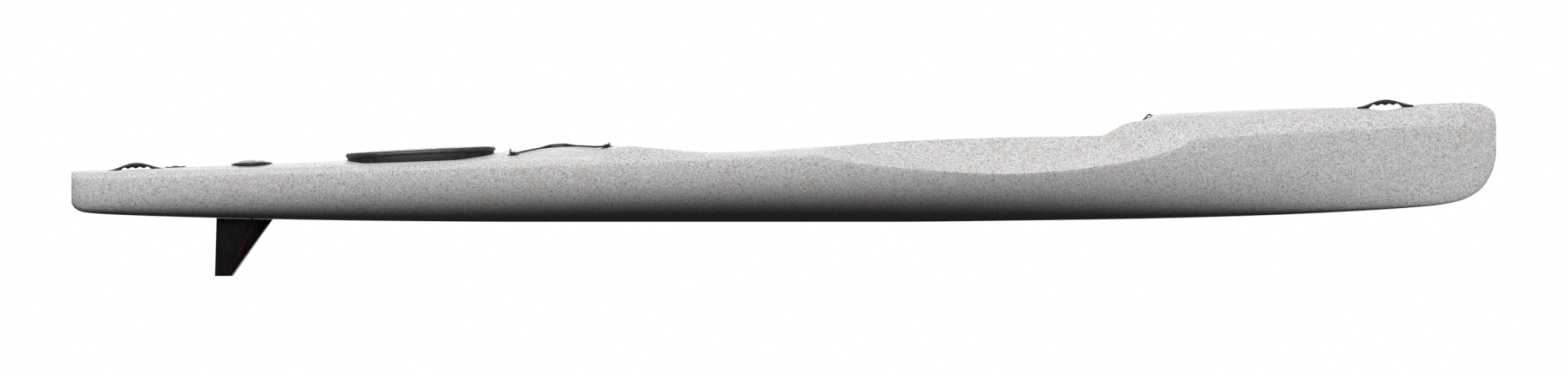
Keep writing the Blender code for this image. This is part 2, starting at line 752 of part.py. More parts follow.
def handle_outline():
    half = HANDLE_LENGTH / 2
    foot = half - HANDLE_FOOT_LENGTH
    across = [half - HANDLE_LENGTH * step / HANDLE_ARCH_STEPS for step in range(HANDLE_ARCH_STEPS + 1)]
    top = [(x, handle_top(x)) for x in across]
    low = [(-half, -HANDLE_ROOT), (-foot, -HANDLE_ROOT)]
    grip = FINGER_PITCH * FINGER_COUNT / 2
    waves = 4 * FINGER_COUNT
    for step in range(waves + 1):
        x = -grip + 2 * grip * step / waves
        wave = 0.5 - 0.5 * math.cos(2 * math.pi * (x + grip) / FINGER_PITCH)
        arch = FINGER_ARCH * math.cos(math.pi * x / HANDLE_LENGTH)
        low.append((x, FINGER_RIDGE_HEIGHT + arch + (FINGER_GROOVE_HEIGHT - FINGER_RIDGE_HEIGHT) * wave))
    return top + low + [(foot, -HANDLE_ROOT), (half, -HANDLE_ROOT)]


def carry_handle(name, station):
    frame = deck_frame(station, HANDLE_LENGTH - HANDLE_FOOT_LENGTH)
    upright = frame @ Matrix.Rotation(math.radians(90), 4, "X")
    item = plate(name, handle_outline(), HANDLE_WIDTH, "fitting", upright, round_edge=HANDLE_EDGE_ROUND)
    cut(item, fitting_cutter)
    for end, side in (("aft", -1), ("fore", 1)):
        place = side * (HANDLE_LENGTH - HANDLE_FOOT_LENGTH) / 2
        spot = frame @ Matrix.Translation((place, 0, handle_top(place) - SCREW_HEAD_HEIGHT))
        recess = SCREW_HEAD_RADIUS + SCREW_RECESS_GAP
        cut(item, cylinder("screw_recess", recess, 0, CUTTER_REACH, None, spot, SCREW_SIDES))
        screw_hole(item, spot, HANDLE_SCREW_LENGTH)
        screw(f"{name}_screw_{end}", spot, HANDLE_SCREW_LENGTH)
    return item


# Rear hatch

def hatch_oval(inset, share=1.0):
    length, width = HATCH_LENGTH - 2 * inset, HATCH_WIDTH - 2 * inset
    return oval_outline(length * share, width * share, HATCH_ENDS_POWER)


def rear_hatch():
    frame = deck_frame(HATCH_STATION, HATCH_LENGTH)
    inner = hatch_oval(HATCH_RIM_BAND)
    outer = hatch_oval(HATCH_LIP_OVERHANG + HATCH_RUNNING_GAP)
    lift = frame @ Matrix.Translation((0, 0, (HATCH_RIM_HEIGHT - HATCH_RIM_ROOT) / 2))
    rim = plate("rear_hatch_rim", outer, HATCH_RIM_HEIGHT + HATCH_RIM_ROOT, "fitting", lift, holes=[inner])
    cut(rim, fitting_cutter)
    opening_depth = 2 * HATCH_RIM_ROOT + CUTTER_REACH
    hull_hole(plate("hatch_opening", inner, opening_depth, None, frame))
    hatch_cover(frame)
    return rim


def hatch_cover(frame):
    mesh = bmesh.new()
    top = HATCH_RIM_HEIGHT + FIT_GAP + HATCH_COVER_THICKNESS
    levels = [
        (1.0, top - HATCH_LIP_DEPTH), (1.0, top - HATCH_EDGE_ROUND), (0.985, top), (0.90, top),
        (0.76, top + 0.5 * HATCH_CROWN), (0.45, top + 0.9 * HATCH_CROWN),
    ]
    rings = []
    for share, height in levels:
        rings.append([mesh.verts.new((x, y, height)) for x, y in hatch_oval(0.0, share)])
    for lower, upper in zip(rings, rings[1:]):
        for i in range(OVAL_SIDES):
            j = (i + 1) % OVAL_SIDES
            mesh.faces.new((lower[i], lower[j], upper[j], upper[i]))
    centre = mesh.verts.new((0, 0, top + HATCH_CROWN))
    for i in range(OVAL_SIDES):
        mesh.faces.new((rings[-1][i], rings[-1][(i + 1) % OVAL_SIDES], centre))
    cover = add_object("rear_hatch_cover", mesh_data("rear_hatch_cover", mesh), "rubber", frame)
    shell = cover.modifiers.new("wall", "SOLIDIFY")
    shell.thickness = HATCH_LIP_OVERHANG - FIT_GAP
    shell.offset = -1.0
    return cover


# Rudder port

def rudder_port():
    frame = deck_frame(RUDDER_STATION, 2 * PORT_RING_RADIUS)
    inner = round_outline(PORT_OPENING_RADIUS, ROUND_SIDES)
    outer = round_outline(PORT_RING_RADIUS, ROUND_SIDES)
    lift = frame @ Matrix.Translation((0, 0, (PORT_RING_HEIGHT - PORT_RING_ROOT) / 2))
    ring = plate("rudder_port_ring", outer, PORT_RING_HEIGHT + PORT_RING_ROOT, "fitting", lift, holes=[inner])
    cut(ring, fitting_cutter)
    opening_depth = 2 * PORT_RING_ROOT + CUTTER_REACH
    hull_hole(cylinder("port_opening", PORT_OPENING_RADIUS, -opening_depth, CUTTER_REACH, None, frame))
    reach = (PORT_RING_RADIUS + PORT_CAP_RADIUS) / 2
    for index in range(PORT_SCREW_COUNT):
        turn = Matrix.Rotation(2 * math.pi * (index + 0.5) / PORT_SCREW_COUNT, 4, "Z")
        spot = frame @ turn @ Matrix.Translation((reach, 0, PORT_RING_HEIGHT))
        screw_hole(ring, spot, PORT_SCREW_LENGTH, PORT_SCREW_RADIUS)
        screw(f"rudder_port_screw_{index + 1}", spot, PORT_SCREW_LENGTH, PORT_SCREW_RADIUS)
    port_cap(frame)
    return ring


def port_cap(frame):
    base = PORT_RING_HEIGHT + FIT_GAP
    seal_reach = PORT_OPENING_RADIUS + 2 * PORT_SEAL_RADIUS
    groove = PORT_SEAL_RADIUS + FIT_GAP
    groove_top = base + 2 * PORT_SEAL_RADIUS + FIT_GAP
    plug = PORT_OPENING_RADIUS - PORT_PLUG_GAP
    ceiling = base + PORT_CAP_HEIGHT - PORT_RING_HEIGHT - PORT_CAP_THICKNESS
    profile = [
        (0.0, PORT_CAP_HEIGHT), (0.55 * PORT_CAP_RADIUS, 0.94 * PORT_CAP_HEIGHT),
        (0.86 * PORT_CAP_RADIUS, 0.75 * PORT_CAP_HEIGHT), (PORT_CAP_RADIUS, base + PORT_CAP_EDGE),
        (PORT_CAP_RADIUS, base), (seal_reach + groove, base), (seal_reach + groove, groove_top),
        (seal_reach - groove, groove_top), (seal_reach - groove, base), (plug, base),
        (plug, -PORT_PLUG_DEPTH), (plug - PORT_WALL, -PORT_PLUG_DEPTH),
        (plug - PORT_WALL, ceiling), (0.0, ceiling),
    ]
    cap = turned("rudder_port_cap", profile, "fitting", frame)
    stretch = Matrix.Diagonal((*FINGER_RECESS_STRETCH, 1, 1))
    height = PORT_CAP_HEIGHT + FINGER_RECESS_RADIUS - FINGER_RECESS_DEPTH
    for side in (-1, 1):
        mesh = bmesh.new()
        bmesh.ops.create_uvsphere(mesh, u_segments=12, v_segments=7, radius=FINGER_RECESS_RADIUS)
        mesh.transform(Matrix.Translation((side * FINGER_RECESS_OFFSET, 0, height)) @ stretch)
        cut(cap, add_object("finger_recess", mesh_data("finger_recess", mesh), None, frame))
    angles = [math.pi / 2 - 2 * math.pi * step / PORT_SEAL_STEPS for step in range(PORT_SEAL_STEPS)]
    radius = PORT_SEAL_RADIUS
    seal = [(seal_reach + radius * math.cos(a), base + radius * (1 + math.sin(a))) for a in angles]
    turned("rudder_port_seal", seal, "rubber", frame)
    return cap


# Drain fitting

def drain_station():
    reach = HANDLE_LENGTH / 2 + DRAIN_HANDLE_GAP + DRAIN_LENGTH / 2
    return STERN_HANDLE_STATION + reach / HULL_LENGTH


def drain_fitting():
    frame = deck_frame(drain_station(), DRAIN_LENGTH)
    outline = oval_outline(DRAIN_LENGTH, DRAIN_WIDTH, DRAIN_ENDS_POWER, DRAIN_SIDES)
    lift = frame @ Matrix.Translation((0, 0, (DRAIN_THICKNESS - DRAIN_ROOT) / 2))
    bore = round_outline(DRAIN_BORE_RADIUS, SMALL_SIDES)
    socket = plate("drain_socket", outline, DRAIN_THICKNESS + DRAIN_ROOT, "fitting", lift, holes=[bore])
    cut(socket, fitting_cutter)
    low = -DRAIN_PLUG_DEPTH - CUTTER_REACH
    hull_hole(cylinder("drain_opening", DRAIN_BORE_RADIUS, low, CUTTER_REACH, None, frame, SMALL_SIDES))
    for end, side in (("aft", -1), ("fore", 1)):
        place = side * (DRAIN_LENGTH / 2 - DRAIN_SCREW_INSET)
        turn = Matrix.Rotation(math.pi / SCREW_SIDES, 4, "Z")
        spot = frame @ Matrix.Translation((place, 0, DRAIN_THICKNESS)) @ turn
        screw_hole(socket, spot, TRIM_SCREW_LENGTH, TRIM_SCREW_RADIUS)
        screw(f"drain_screw_{end}", spot, TRIM_SCREW_LENGTH, TRIM_SCREW_RADIUS)
    drain_plug(frame)
    return socket


def drain_plug(frame):
    base = DRAIN_THICKNESS + FIT_GAP
    top = base + DRAIN_KNOB_HEIGHT
    stem = DRAIN_BORE_RADIUS - DRAIN_PLUG_GAP
    tip = 0.85 * stem
    profile = [
        (0.0, top), (0.8 * DRAIN_KNOB_RADIUS, top), (DRAIN_KNOB_RADIUS, base + 0.6 * DRAIN_KNOB_HEIGHT),
        (DRAIN_KNOB_RADIUS, base), (stem, base), (stem, -0.9 * DRAIN_PLUG_DEPTH),
        (tip, -DRAIN_PLUG_DEPTH), (0.0, -DRAIN_PLUG_DEPTH),
    ]
    plug = turned("drain_plug", profile, "fitting", frame, SMALL_SIDES)
    for side in (-1, 1):
        near, far = sorted((side * DRAIN_KNOB_GRIP / 2, side * (DRAIN_KNOB_RADIUS + CUTTER_REACH)))
        low = (-2 * DRAIN_KNOB_RADIUS, near, base + 0.4 * DRAIN_KNOB_HEIGHT)
        high = (2 * DRAIN_KNOB_RADIUS, far, top + CUTTER_REACH)
        cut(plug, box("knob_flat", low, high, None, frame))
    return plug


# Rudder gear

def rudder_gear():
    x = station_x(RUDDER_STATION)
    axis = Matrix.Translation((x, 0, 0))
    bush_radius = SHAFT_RADIUS + SHAFT_CLEARANCE
    bush_outer = bush_radius + BUSH_WALL
    tube_inner = bush_outer + FIT_GAP
    tube_outer = tube_inner + RUDDER_TUBE_WALL
    tube_low = max(keel_height(x - tube_outer), keel_height(x + tube_outer)) + FIT_GAP
    tube_profile = [
        (tube_outer, RUDDER_TUBE_TOP), (tube_outer, tube_low), (tube_inner, tube_low),
        (tube_inner, RUDDER_TUBE_TOP),
    ]
    turned("rudder_tube", tube_profile, "fitting", axis)
    hull_hole(cylinder("tube_hole", tube_outer + FIT_GAP, -CUTTER_REACH, tube_low + CUTTER_REACH, None, axis))

    lower_profile = [
        (bush_outer, tube_low + BUSH_LENGTH), (bush_outer, tube_low), (bush_radius, tube_low),
        (bush_radius, tube_low + BUSH_LENGTH),
    ]
    turned("rudder_lower_bush", lower_profile, "nylon", axis)
    flange_low = RUDDER_TUBE_TOP + FIT_GAP
    flange_top = flange_low + BUSH_FLANGE
    upper_profile = [
        (tube_outer, flange_top), (tube_outer, flange_low), (bush_outer, flange_low),
        (bush_outer, RUDDER_TUBE_TOP - BUSH_LENGTH), (bush_radius, RUDDER_TUBE_TOP - BUSH_LENGTH),
        (bush_radius, flange_top),
    ]
    turned("rudder_upper_bush", upper_profile, "nylon", axis)

    tiller_low = flange_top + FIT_GAP
    shaft_top = tiller_low + TILLER_THICKNESS + SHAFT_END_ABOVE_TILLER
    shaft_low = keel_height(x) - SHAFT_REACH_DOWN
    shaft_profile = [
        (0.0, shaft_top), (SHAFT_RADIUS, shaft_top - SHAFT_CHAMFER), (SHAFT_RADIUS, shaft_low),
        (0.0, shaft_low),
    ]
    turned("rudder_shaft", shaft_profile, "stainless", axis)
    blade = rudder_blade(axis, x)
    cut(blade, cylinder("shaft_bore", SHAFT_RADIUS + FIT_GAP, shaft_low - FIT_GAP, tube_low, None, axis))
    rudder_tiller(axis, tiller_low)


def rudder_blade(axis, x):
    mesh = bmesh.new()
    rings = []
    for level in range(BLADE_STEPS_DOWN + 1):
        depth = level / BLADE_STEPS_DOWN
        lead = BLADE_LEADING_TOP + (BLADE_LEADING_TIP - BLADE_LEADING_TOP) * depth
        trail = BLADE_TRAILING_TOP + (BLADE_TRAILING_TIP - BLADE_TRAILING_TOP) * depth
        thick = BLADE_THICKNESS + (BLADE_TIP_THICKNESS - BLADE_THICKNESS) * depth ** 1.4
        bottom = keel_height(x) - BLADE_GAP - BLADE_DEPTH
        ring = []
        for side in (1, -1):
            steps = range(BLADE_STEPS_ALONG) if side == 1 else range(BLADE_STEPS_ALONG, 0, -1)
            for step in steps:
                along = 0.5 - 0.5 * math.cos(math.pi * step / BLADE_STEPS_ALONG)
                px = lead + (trail - lead) * along
                top = keel_height(x + px) - BLADE_GAP
                y = side * foil_half_thickness(along) * thick
                ring.append(mesh.verts.new((px, y, top + (bottom - top) * depth)))
        rings.append(ring)
    count = len(rings[0])
    for upper, lower in zip(rings, rings[1:]):
        for i in range(count):
            j = (i + 1) % count
            mesh.faces.new((upper[i], upper[j], lower[j], lower[i]))
    mesh.faces.new(rings[0])
    mesh.faces.new(rings[-1])
    return add_object("rudder_blade", mesh_data("rudder_blade", mesh), "blade", axis)


def foil_half_thickness(along):
    shape = 1.4845 * math.sqrt(along) - 0.63 * along - 1.758 * along ** 2
    shape += 1.4215 * along ** 3 - 0.5075 * along ** 4
    return max(shape, 0.05 if along > 0.5 else 0.0)


def rudder_tiller(axis, low):
    end = TILLER_ARM + TILLER_ARM_WIDTH / 2
    arm = TILLER_ARM_WIDTH / 2
    hub = TILLER_HUB_RADIUS
    half = [(hub, 0.4 * hub), (arm, end), (-arm, end), (-hub, 0.4 * hub)]
    outline = half + [(-x, -y) for x, y in half]
    holes = [round_outline(SHAFT_RADIUS + FIT_GAP, ROUND_SIDES)]
    holes += [round_outline(TILLER_EYE_RADIUS, SMALL_SIDES, (0, side * TILLER_ARM)) for side in (-1, 1)]
    middle = axis @ Matrix.Translation((0, 0, low + TILLER_THICKNESS / 2))
    tiller = plate("rudder_tiller", outline, TILLER_THICKNESS, "aluminium", middle, holes=holes)
    spot = middle @ Matrix.Rotation(math.radians(90), 4, "Y")
    bore = SET_SCREW_RADIUS + FIT_GAP
    cut(tiller, cylinder("set_screw_bore", bore, 0, hub + CUTTER_REACH, None, spot, SMALL_SIDES))
    start = SHAFT_RADIUS + 2 * FIT_GAP
    end = hub + SET_SCREW_STANDOUT
    cylinder("tiller_set_screw", SET_SCREW_RADIUS, start, end, "stainless", spot, SMALL_SIDES)
    return tiller


# Rudder lines in their conduits

def smooth_route(points, steps):
    route = [Vector(point) for point in points]
    padded = [2 * route[0] - route[1]] + route + [2 * route[-1] - route[-2]]
    out = []
    for a, b, c, d in zip(padded, padded[1:], padded[2:], padded[3:]):
        for step in range(steps):
            t = step / steps
            out.append(0.5 * (2 * b + (c - a) * t + (2 * a - 5 * b + 4 * c - d) * t ** 2
                              + (3 * b - a - 3 * c + d) * t ** 3))
    out.append(route[-1])
    return out


def fairlead_point():
    x = station_x(FAIRLEAD_STATION)
    return Vector((x, wall_reach(x, FAIRLEAD_HEIGHT), FAIRLEAD_HEIGHT))


def rudder_lines():
    wall = fairlead_point()
    reach, slant = FAIRLEAD_REACH
    inside = wall + Vector((reach, -slant, 0.0))
    route = [Vector((x, share * HULL_BEAM / 2, z)) for x, share, z in CONDUIT_ROUTE]
    route += [wall - Vector((reach, -0.75 * slant, 0.0)), inside]
    eye = pedal_eye_point()
    tiller_x = station_x(RUDDER_STATION) + TILLER_ARM_WIDTH / 2 + LINE_RADIUS
    tiller_eye = Vector((tiller_x, TILLER_ARM, CONDUIT_ROUTE[0][2]))
    for side, name in ((1, "port"), (-1, "starboard")):
        mirror = Matrix.Diagonal((1, side, 1, 1))
        path = [mirror @ point for point in smooth_route(route, LINE_CURVE_STEPS)]
        data = curve_data(f"{name}_line_conduit", path)
        data.dimensions = "3D"
        data.bevel_depth = CONDUIT_RADIUS
        data.bevel_resolution = 1
        outer = add_object("conduit_outer", data)
        conduit = as_mesh(outer, f"{name}_line_conduit", "conduit")
        wall_modifier = conduit.modifiers.new("wall", "SOLIDIFY")
        wall_modifier.thickness = CONDUIT_WALL
        wall_modifier.offset = -1.0
        through = path[-5:] + [mirror @ (2 * inside - wall)]
        bore = tube("conduit_hole", through, CONDUIT_RADIUS + FIT_GAP, resolution=1)
        hull_hole(as_mesh(bore, "conduit_hole"))
        line = [mirror @ tiller_eye] + path + [mirror @ eye]
        tube(f"{name}_rudder_line", line, LINE_RADIUS, "line", resolution=1)


# Deck bungee

def bungee_posts():
    aft, fore = (station_x(share) for share in BUNGEE_STATIONS)
    aft_y, fore_y = BUNGEE_HALF_SPREAD
    return {
        "aft_starboard": (aft, -aft_y), "fore_port": (fore, fore_y),
        "fore_starboard": (fore, -fore_y), "aft_port": (aft, aft_y),
    }


def post_arc(before, post, after, side):
    turn = BUNGEE_POST_RADIUS + BUNGEE_RADIUS + 2 * FIT_GAP
    heading_in = math.atan2(post[1] - before[1], post[0] - before[0])
    heading_out = math.atan2(after[1] - post[1], after[0] - post[0])
    sweep = (side * (heading_out - heading_in)) % (2 * math.pi)
    start = heading_in - side * math.pi / 2
    angles = [start + side * sweep * step / BUNGEE_ARC_STEPS for step in range(BUNGEE_ARC_STEPS + 1)]
    reach = turn / math.cos(sweep / BUNGEE_ARC_STEPS / 2)
    return [(post[0] + reach * math.cos(angle), post[1] + reach * math.sin(angle)) for angle in angles]


def deck_bungee():
    names = list(bungee_posts())
    posts = list(bungee_posts().values())
    sides = (1, -1, -1, 1)
    cord_height = Vector((0, 0, BUNGEE_BASE_HEIGHT + BUNGEE_RADIUS))
    necks = [(deck_normal_frame(x, y) @ cord_height)[:2] for x, y in posts]
    arcs = [post_arc(necks[i - 1], necks[i], necks[(i + 1) % 4], side) for i, side in enumerate(sides)]
    points = []
    for index, arc in enumerate(arcs):
        points += [bungee_point(x, y, posts, 0.0) for x, y in arc]
        (x0, y0), (x1, y1) = arc[-1], arcs[(index + 1) % 4][0]
        for step in range(1, BUNGEE_RUN_STEPS):
            t = step / BUNGEE_RUN_STEPS
            over = (2 * BUNGEE_RADIUS + FIT_GAP) * min(1.5 * (1 - abs(2 * t - 1)), 1.0) if index == 0 else 0.0
            points.append(bungee_point(x0 + (x1 - x0) * t, y0 + (y1 - y0) * t, posts, over))
    tube("deck_bungee", points, BUNGEE_RADIUS, "bungee", cyclic=True)
    for name, (x, y) in zip(names, posts):
        bungee_post(name, x, y)


def bungee_point(x, y, posts, over):
    px, py = min(posts, key=lambda post: math.hypot(x - post[0], y - post[1]))
    away = max(math.hypot(x - px, y - py) - BUNGEE_BASE_RADIUS, 0.0) / BUNGEE_BASE_RADIUS
    near = max(1 - away, 0.0)
    frame = deck_normal_frame(px, py)
    origin, normal = frame.translation, frame.col[2]
    plane = origin.z - (normal.x * (x - px) + normal.y * (y - py)) / normal.z
    at_post = plane + BUNGEE_BASE_HEIGHT + BUNGEE_RADIUS + 2 * FIT_GAP
    around = [(x, y)]
    for side in (-BUNGEE_REST_REACH, BUNGEE_REST_REACH):
        around += [(x - side, y - side), (x - side, y + side)]
    on_deck = max(deck_height(*spot) for spot in around) + BUNGEE_RADIUS + BUNGEE_SEAT_GAP + over
    return (x, y, near * at_post + (1 - near) * on_deck)


def bungee_post(name, x, y):
    frame = deck_normal_frame(x, y)
    top = BUNGEE_POST_HEIGHT + BUNGEE_CAP_HEIGHT
    chamfer = BUNGEE_CAP_CHAMFER
    profile = [
        (0.0, top), (BUNGEE_CAP_RADIUS - chamfer, top), (BUNGEE_CAP_RADIUS, top - 0.7 * chamfer),
        (BUNGEE_CAP_RADIUS, BUNGEE_POST_HEIGHT), (BUNGEE_POST_RADIUS, BUNGEE_POST_HEIGHT - 0.3 * chamfer),
        (BUNGEE_POST_RADIUS, BUNGEE_BASE_HEIGHT), (BUNGEE_BASE_RADIUS, 0.7 * BUNGEE_BASE_HEIGHT),
        (BUNGEE_BASE_RADIUS, -BUNGEE_POST_ROOT), (0.0, -BUNGEE_POST_ROOT),
    ]
    post = turned(f"bungee_post_{name}", profile, "fitting", frame, SMALL_SIDES)
    cut(post, fitting_cutter)
    spot = frame @ Matrix.Translation((0, 0, top - SCREW_HEAD_HEIGHT - FIT_GAP))
    recess = SCREW_HEAD_RADIUS + SCREW_RECESS_GAP
    cut(post, cylinder("screw_recess", recess, 0, CUTTER_REACH, None, spot, SCREW_SIDES))
    screw_hole(post, spot, top + SCREW_BITE)
    screw(f"bungee_screw_{name}", spot, top + SCREW_BITE)


# Leash eye

def leash_eye():
    frame = deck_frame(LEASH_EYE_STATION, LEASH_BASE_LENGTH)
    corner = LEASH_BASE_WIDTH / 2 - 2 * FIT_GAP
    outline = rounded_rectangle(LEASH_BASE_LENGTH, LEASH_BASE_WIDTH, corner, 3)
    lift = frame @ Matrix.Translation((0, 0, (LEASH_BASE_THICKNESS - LEASH_BASE_ROOT) / 2))
    item = plate("leash_eye", outline, LEASH_BASE_THICKNESS + LEASH_BASE_ROOT, "stainless", lift)
    cut(item, fitting_cutter)
    half = LEASH_LOOP_SPAN / 2 - LEASH_WIRE_RADIUS
    shoulder = LEASH_LOOP_RISE - half - LEASH_WIRE_RADIUS
    angles = [math.pi * step / LEASH_ARC_STEPS for step in range(LEASH_ARC_STEPS + 1)]
    arc = [(-half * math.cos(angle), 0, shoulder + half * math.sin(angle)) for angle in angles]
    loop = tube("leash_loop", [(-half, 0, 0.0)] + arc + [(half, 0, 0.0)], LEASH_WIRE_RADIUS)
    loop.matrix_world = frame @ Matrix.Translation((0, 0, LEASH_BASE_THICKNESS / 2))
    join(item, as_mesh(loop, "leash_loop"))
    for end, side in (("aft", -1), ("fore", 1)):
        place = side * (LEASH_BASE_LENGTH / 2 - LEASH_SCREW_INSET)
        spot = frame @ Matrix.Translation((place, 0, LEASH_BASE_THICKNESS))
        screw_hole(item, spot, TRIM_SCREW_LENGTH, TRIM_SCREW_RADIUS)
        screw(f"leash_eye_screw_{end}", spot, TRIM_SCREW_LENGTH, TRIM_SCREW_RADIUS)
    return item


# Footboard, pedals and track

def track_shape(name, length, material=None, matrix=Matrix(), grow=0.0):
    half = length / 2
    head_low = TRACK_HEIGHT - TRACK_HEAD_THICKNESS
    base = (TRACK_BASE_WIDTH / 2 + grow, 0.0, TRACK_BASE_THICKNESS + grow)
    neck = (TRACK_NECK_WIDTH / 2 + grow, TRACK_BASE_THICKNESS / 2, head_low + TRACK_HEAD_THICKNESS / 2)
    head = (TRACK_HEAD_WIDTH / 2 + grow, head_low - grow, TRACK_HEIGHT + grow)
    levels = []
    for y, low, high in (base, neck, head):
        levels.append(box(name, (-half, -y, low), (half, y, high), None, matrix))
    for level in levels[1:]:
        join(levels[0], level)
    return as_mesh(levels[0], name, material)


def floor_height():
    return deck_height(station_x(sum(TRACK_STATIONS) / 2))


def footboard_track():
    aft, fore = (station_x(share) for share in TRACK_STATIONS)
    floor = floor_height() + FIT_GAP
    place = Matrix.Translation(((aft + fore) / 2, 0, floor))
    track = track_shape("footboard_track", fore - aft, "aluminium", place)
    for end, x in (("aft", aft + TRACK_SCREW_INSET), ("fore", fore - TRACK_SCREW_INSET)):
        spot = Matrix.Translation((x, 0, floor + TRACK_HEIGHT))
        screw_hole(track, spot, TRACK_HEIGHT + SCREW_BITE)
        screw(f"track_screw_{end}", spot, TRACK_HEIGHT + SCREW_BITE)
    return track


ACROSS = Matrix.Rotation(math.radians(90), 4, "X")
FACING_AFT = Matrix.Rotation(math.radians(90), 4, "Z") @ ACROSS


def board_frame():
    floor = floor_height() + BOARD_FLOOR_GAP
    return Matrix.Translation((station_x(BOARD_STATION), 0, floor)) @ Matrix.Rotation(BOARD_TILT, 4, "Y")


def pedal_axis_height():
    return BOARD_HEIGHT + PEDAL_KNUCKLE_RADIUS + PEDAL_SIDE_GAP


def pedal_frame():
    return board_frame() @ Matrix.Translation((BOARD_THICKNESS / 2, 0, pedal_axis_height()))


def pedal_eye_side():
    return BOARD_WIDTH / 2 - LUG_WIDTH - PEDAL_EYE_INSET


def pedal_eye_point():
    return pedal_frame() @ Vector((-PEDAL_THICKNESS / 2, pedal_eye_side(), PEDAL_EYE_HEIGHT))


def footboard():
    floor = floor_height() + FIT_GAP
    centre = Matrix.Translation((station_x(BOARD_STATION), 0, floor))
    carriage_low = TRACK_BASE_THICKNESS + 2 * CARRIAGE_CLEARANCE
    carriage_top = TRACK_HEIGHT + CARRIAGE_CLEARANCE + CARRIAGE_WALL
    carriage_place = centre @ Matrix.Translation((CARRIAGE_OFFSET, 0, 0))
    carriage = box(
        "footboard_carriage", (-CARRIAGE_LENGTH / 2, -CARRIAGE_WIDTH / 2, carriage_low),
        (CARRIAGE_LENGTH / 2, CARRIAGE_WIDTH / 2, carriage_top), "fitting", carriage_place,
    )
    cut(carriage, track_shape("track_slot", 2 * CARRIAGE_LENGTH, None, carriage_place, CARRIAGE_CLEARANCE))
    clamp_knob(carriage_place, carriage)

    frame = board_frame()
    half = BOARD_WIDTH / 2
    flat = frame @ Matrix.Translation((BOARD_THICKNESS / 2, 0, 0)) @ FACING_AFT
    board = plate("footboard", board_outline(), BOARD_THICKNESS, "fitting", flat)
    for index in range(LUG_COUNT):
        y = -half + LUG_WIDTH / 2 + index * (BOARD_WIDTH - LUG_WIDTH) / (LUG_COUNT - 1)
        low = (0, y - LUG_WIDTH / 2, BOARD_HEIGHT - BOARD_THICKNESS / 2)
        high = (BOARD_THICKNESS, y + LUG_WIDTH / 2, pedal_axis_height() + PEDAL_KNUCKLE_RADIUS)
        join(board, box("pedal_lug", low, high, None, frame))
    foot_low = (-BOARD_THICKNESS / 4, -BOARD_FOOT_WIDTH / 2, 0.0)
    foot_high = (BOARD_FOOT_LENGTH, BOARD_FOOT_WIDTH / 2, BOARD_FOOT_HEIGHT)
    join(board, box("board_foot", foot_low, foot_high, None, frame))
    rest = centre @ Matrix.Translation((0, 0, carriage_top + FIT_GAP))
    cut(board, box("carriage_seat", (-half, -half, -BOARD_HEIGHT), (half, half, 0.0), None, rest))
    pin_bore = PEDAL_PIN_RADIUS + PEDAL_PIN_CLEARANCE
    bore_end = half + CUTTER_REACH
    cut(board, cylinder("pin_bore", pin_bore, -bore_end, bore_end, None, pedal_frame() @ ACROSS))
    pin_end = half + PEDAL_PIN_STANDOUT
    cylinder("pedal_pin", PEDAL_PIN_RADIUS, -pin_end, pin_end, "stainless", pedal_frame() @ ACROSS)
    for side, name in ((1, "port_pedal"), (-1, "starboard_pedal")):
        pedal(side, name, pin_bore)
    foot_strap(frame)
    return board


def board_outline():
    half = BOARD_WIDTH / 2
    return [
        (-half + BOARD_CORNER, 0.0), (half - BOARD_CORNER, 0.0), (half, BOARD_CORNER), (half, BOARD_HEIGHT),
        (-half, BOARD_HEIGHT), (-half, BOARD_CORNER),
    ]


def pedal(side, name, pin_bore):
    frame = pedal_frame()
    inner = LUG_WIDTH / 2 + PEDAL_SIDE_GAP
    outer = BOARD_WIDTH / 2 - LUG_WIDTH - PEDAL_SIDE_GAP
    low_y, high_y = sorted((side * inner, side * outer))
    knuckle = cylinder(name, PEDAL_KNUCKLE_RADIUS, -high_y, -low_y, "fitting", frame @ ACROSS)
    corner = PEDAL_CORNER
    outline = [
        (low_y, 0.0), (high_y, 0.0), (high_y, PEDAL_HEIGHT - corner), (high_y - corner, PEDAL_HEIGHT),
        (low_y + corner, PEDAL_HEIGHT), (low_y, PEDAL_HEIGHT - corner),
    ]
    eye = round_outline(PEDAL_EYE_RADIUS, SMALL_SIDES, (side * pedal_eye_side(), PEDAL_EYE_HEIGHT))
    join(knuckle, plate("pedal_face", outline, PEDAL_THICKNESS, None, frame @ FACING_AFT, holes=[eye]))
    reach = BOARD_WIDTH / 2
    cut(knuckle, cylinder("pin_bore", pin_bore, -reach, reach, None, frame @ ACROSS))
    return knuckle


def clamp_knob(place, carriage):
    outward = Matrix.Rotation(math.radians(-90), 4, "X")
    spot = place @ Matrix.Translation((0, 0, TRACK_HEIGHT - TRACK_HEAD_THICKNESS / 2)) @ outward
    start = TRACK_HEAD_WIDTH / 2 + FIT_GAP + CARRIAGE_CLEARANCE
    face = CARRIAGE_WIDTH / 2 + FIT_GAP
    bore = CLAMP_SCREW_RADIUS + CLAMP_SCREW_GAP
    cut(carriage, cylinder("clamp_bore", bore, 0.9 * start, face + CUTTER_REACH, None, spot, SMALL_SIDES))
    outline = []
    sides = 4 * CLAMP_KNOB_LOBES
    for step in range(sides):
        angle = 2 * math.pi * step / sides
        radius = CLAMP_KNOB_RADIUS * (1 - CLAMP_KNOB_LOBE_DEPTH * (1 - math.cos(CLAMP_KNOB_LOBES * angle)))
        outline.append((radius * math.cos(angle), radius * math.sin(angle)))
    knob_low = face + CLAMP_STEM_SHOWING
    knob_place = spot @ Matrix.Translation((0, 0, knob_low + CLAMP_KNOB_THICKNESS / 2))
    knob = plate("clamp_knob", outline, CLAMP_KNOB_THICKNESS, "fitting", knob_place)
    stem_end = knob_low + CLAMP_KNOB_THICKNESS / 4
    join(knob, cylinder("clamp_stem", CLAMP_SCREW_RADIUS, start, stem_end, None, spot, SMALL_SIDES))
    return knob


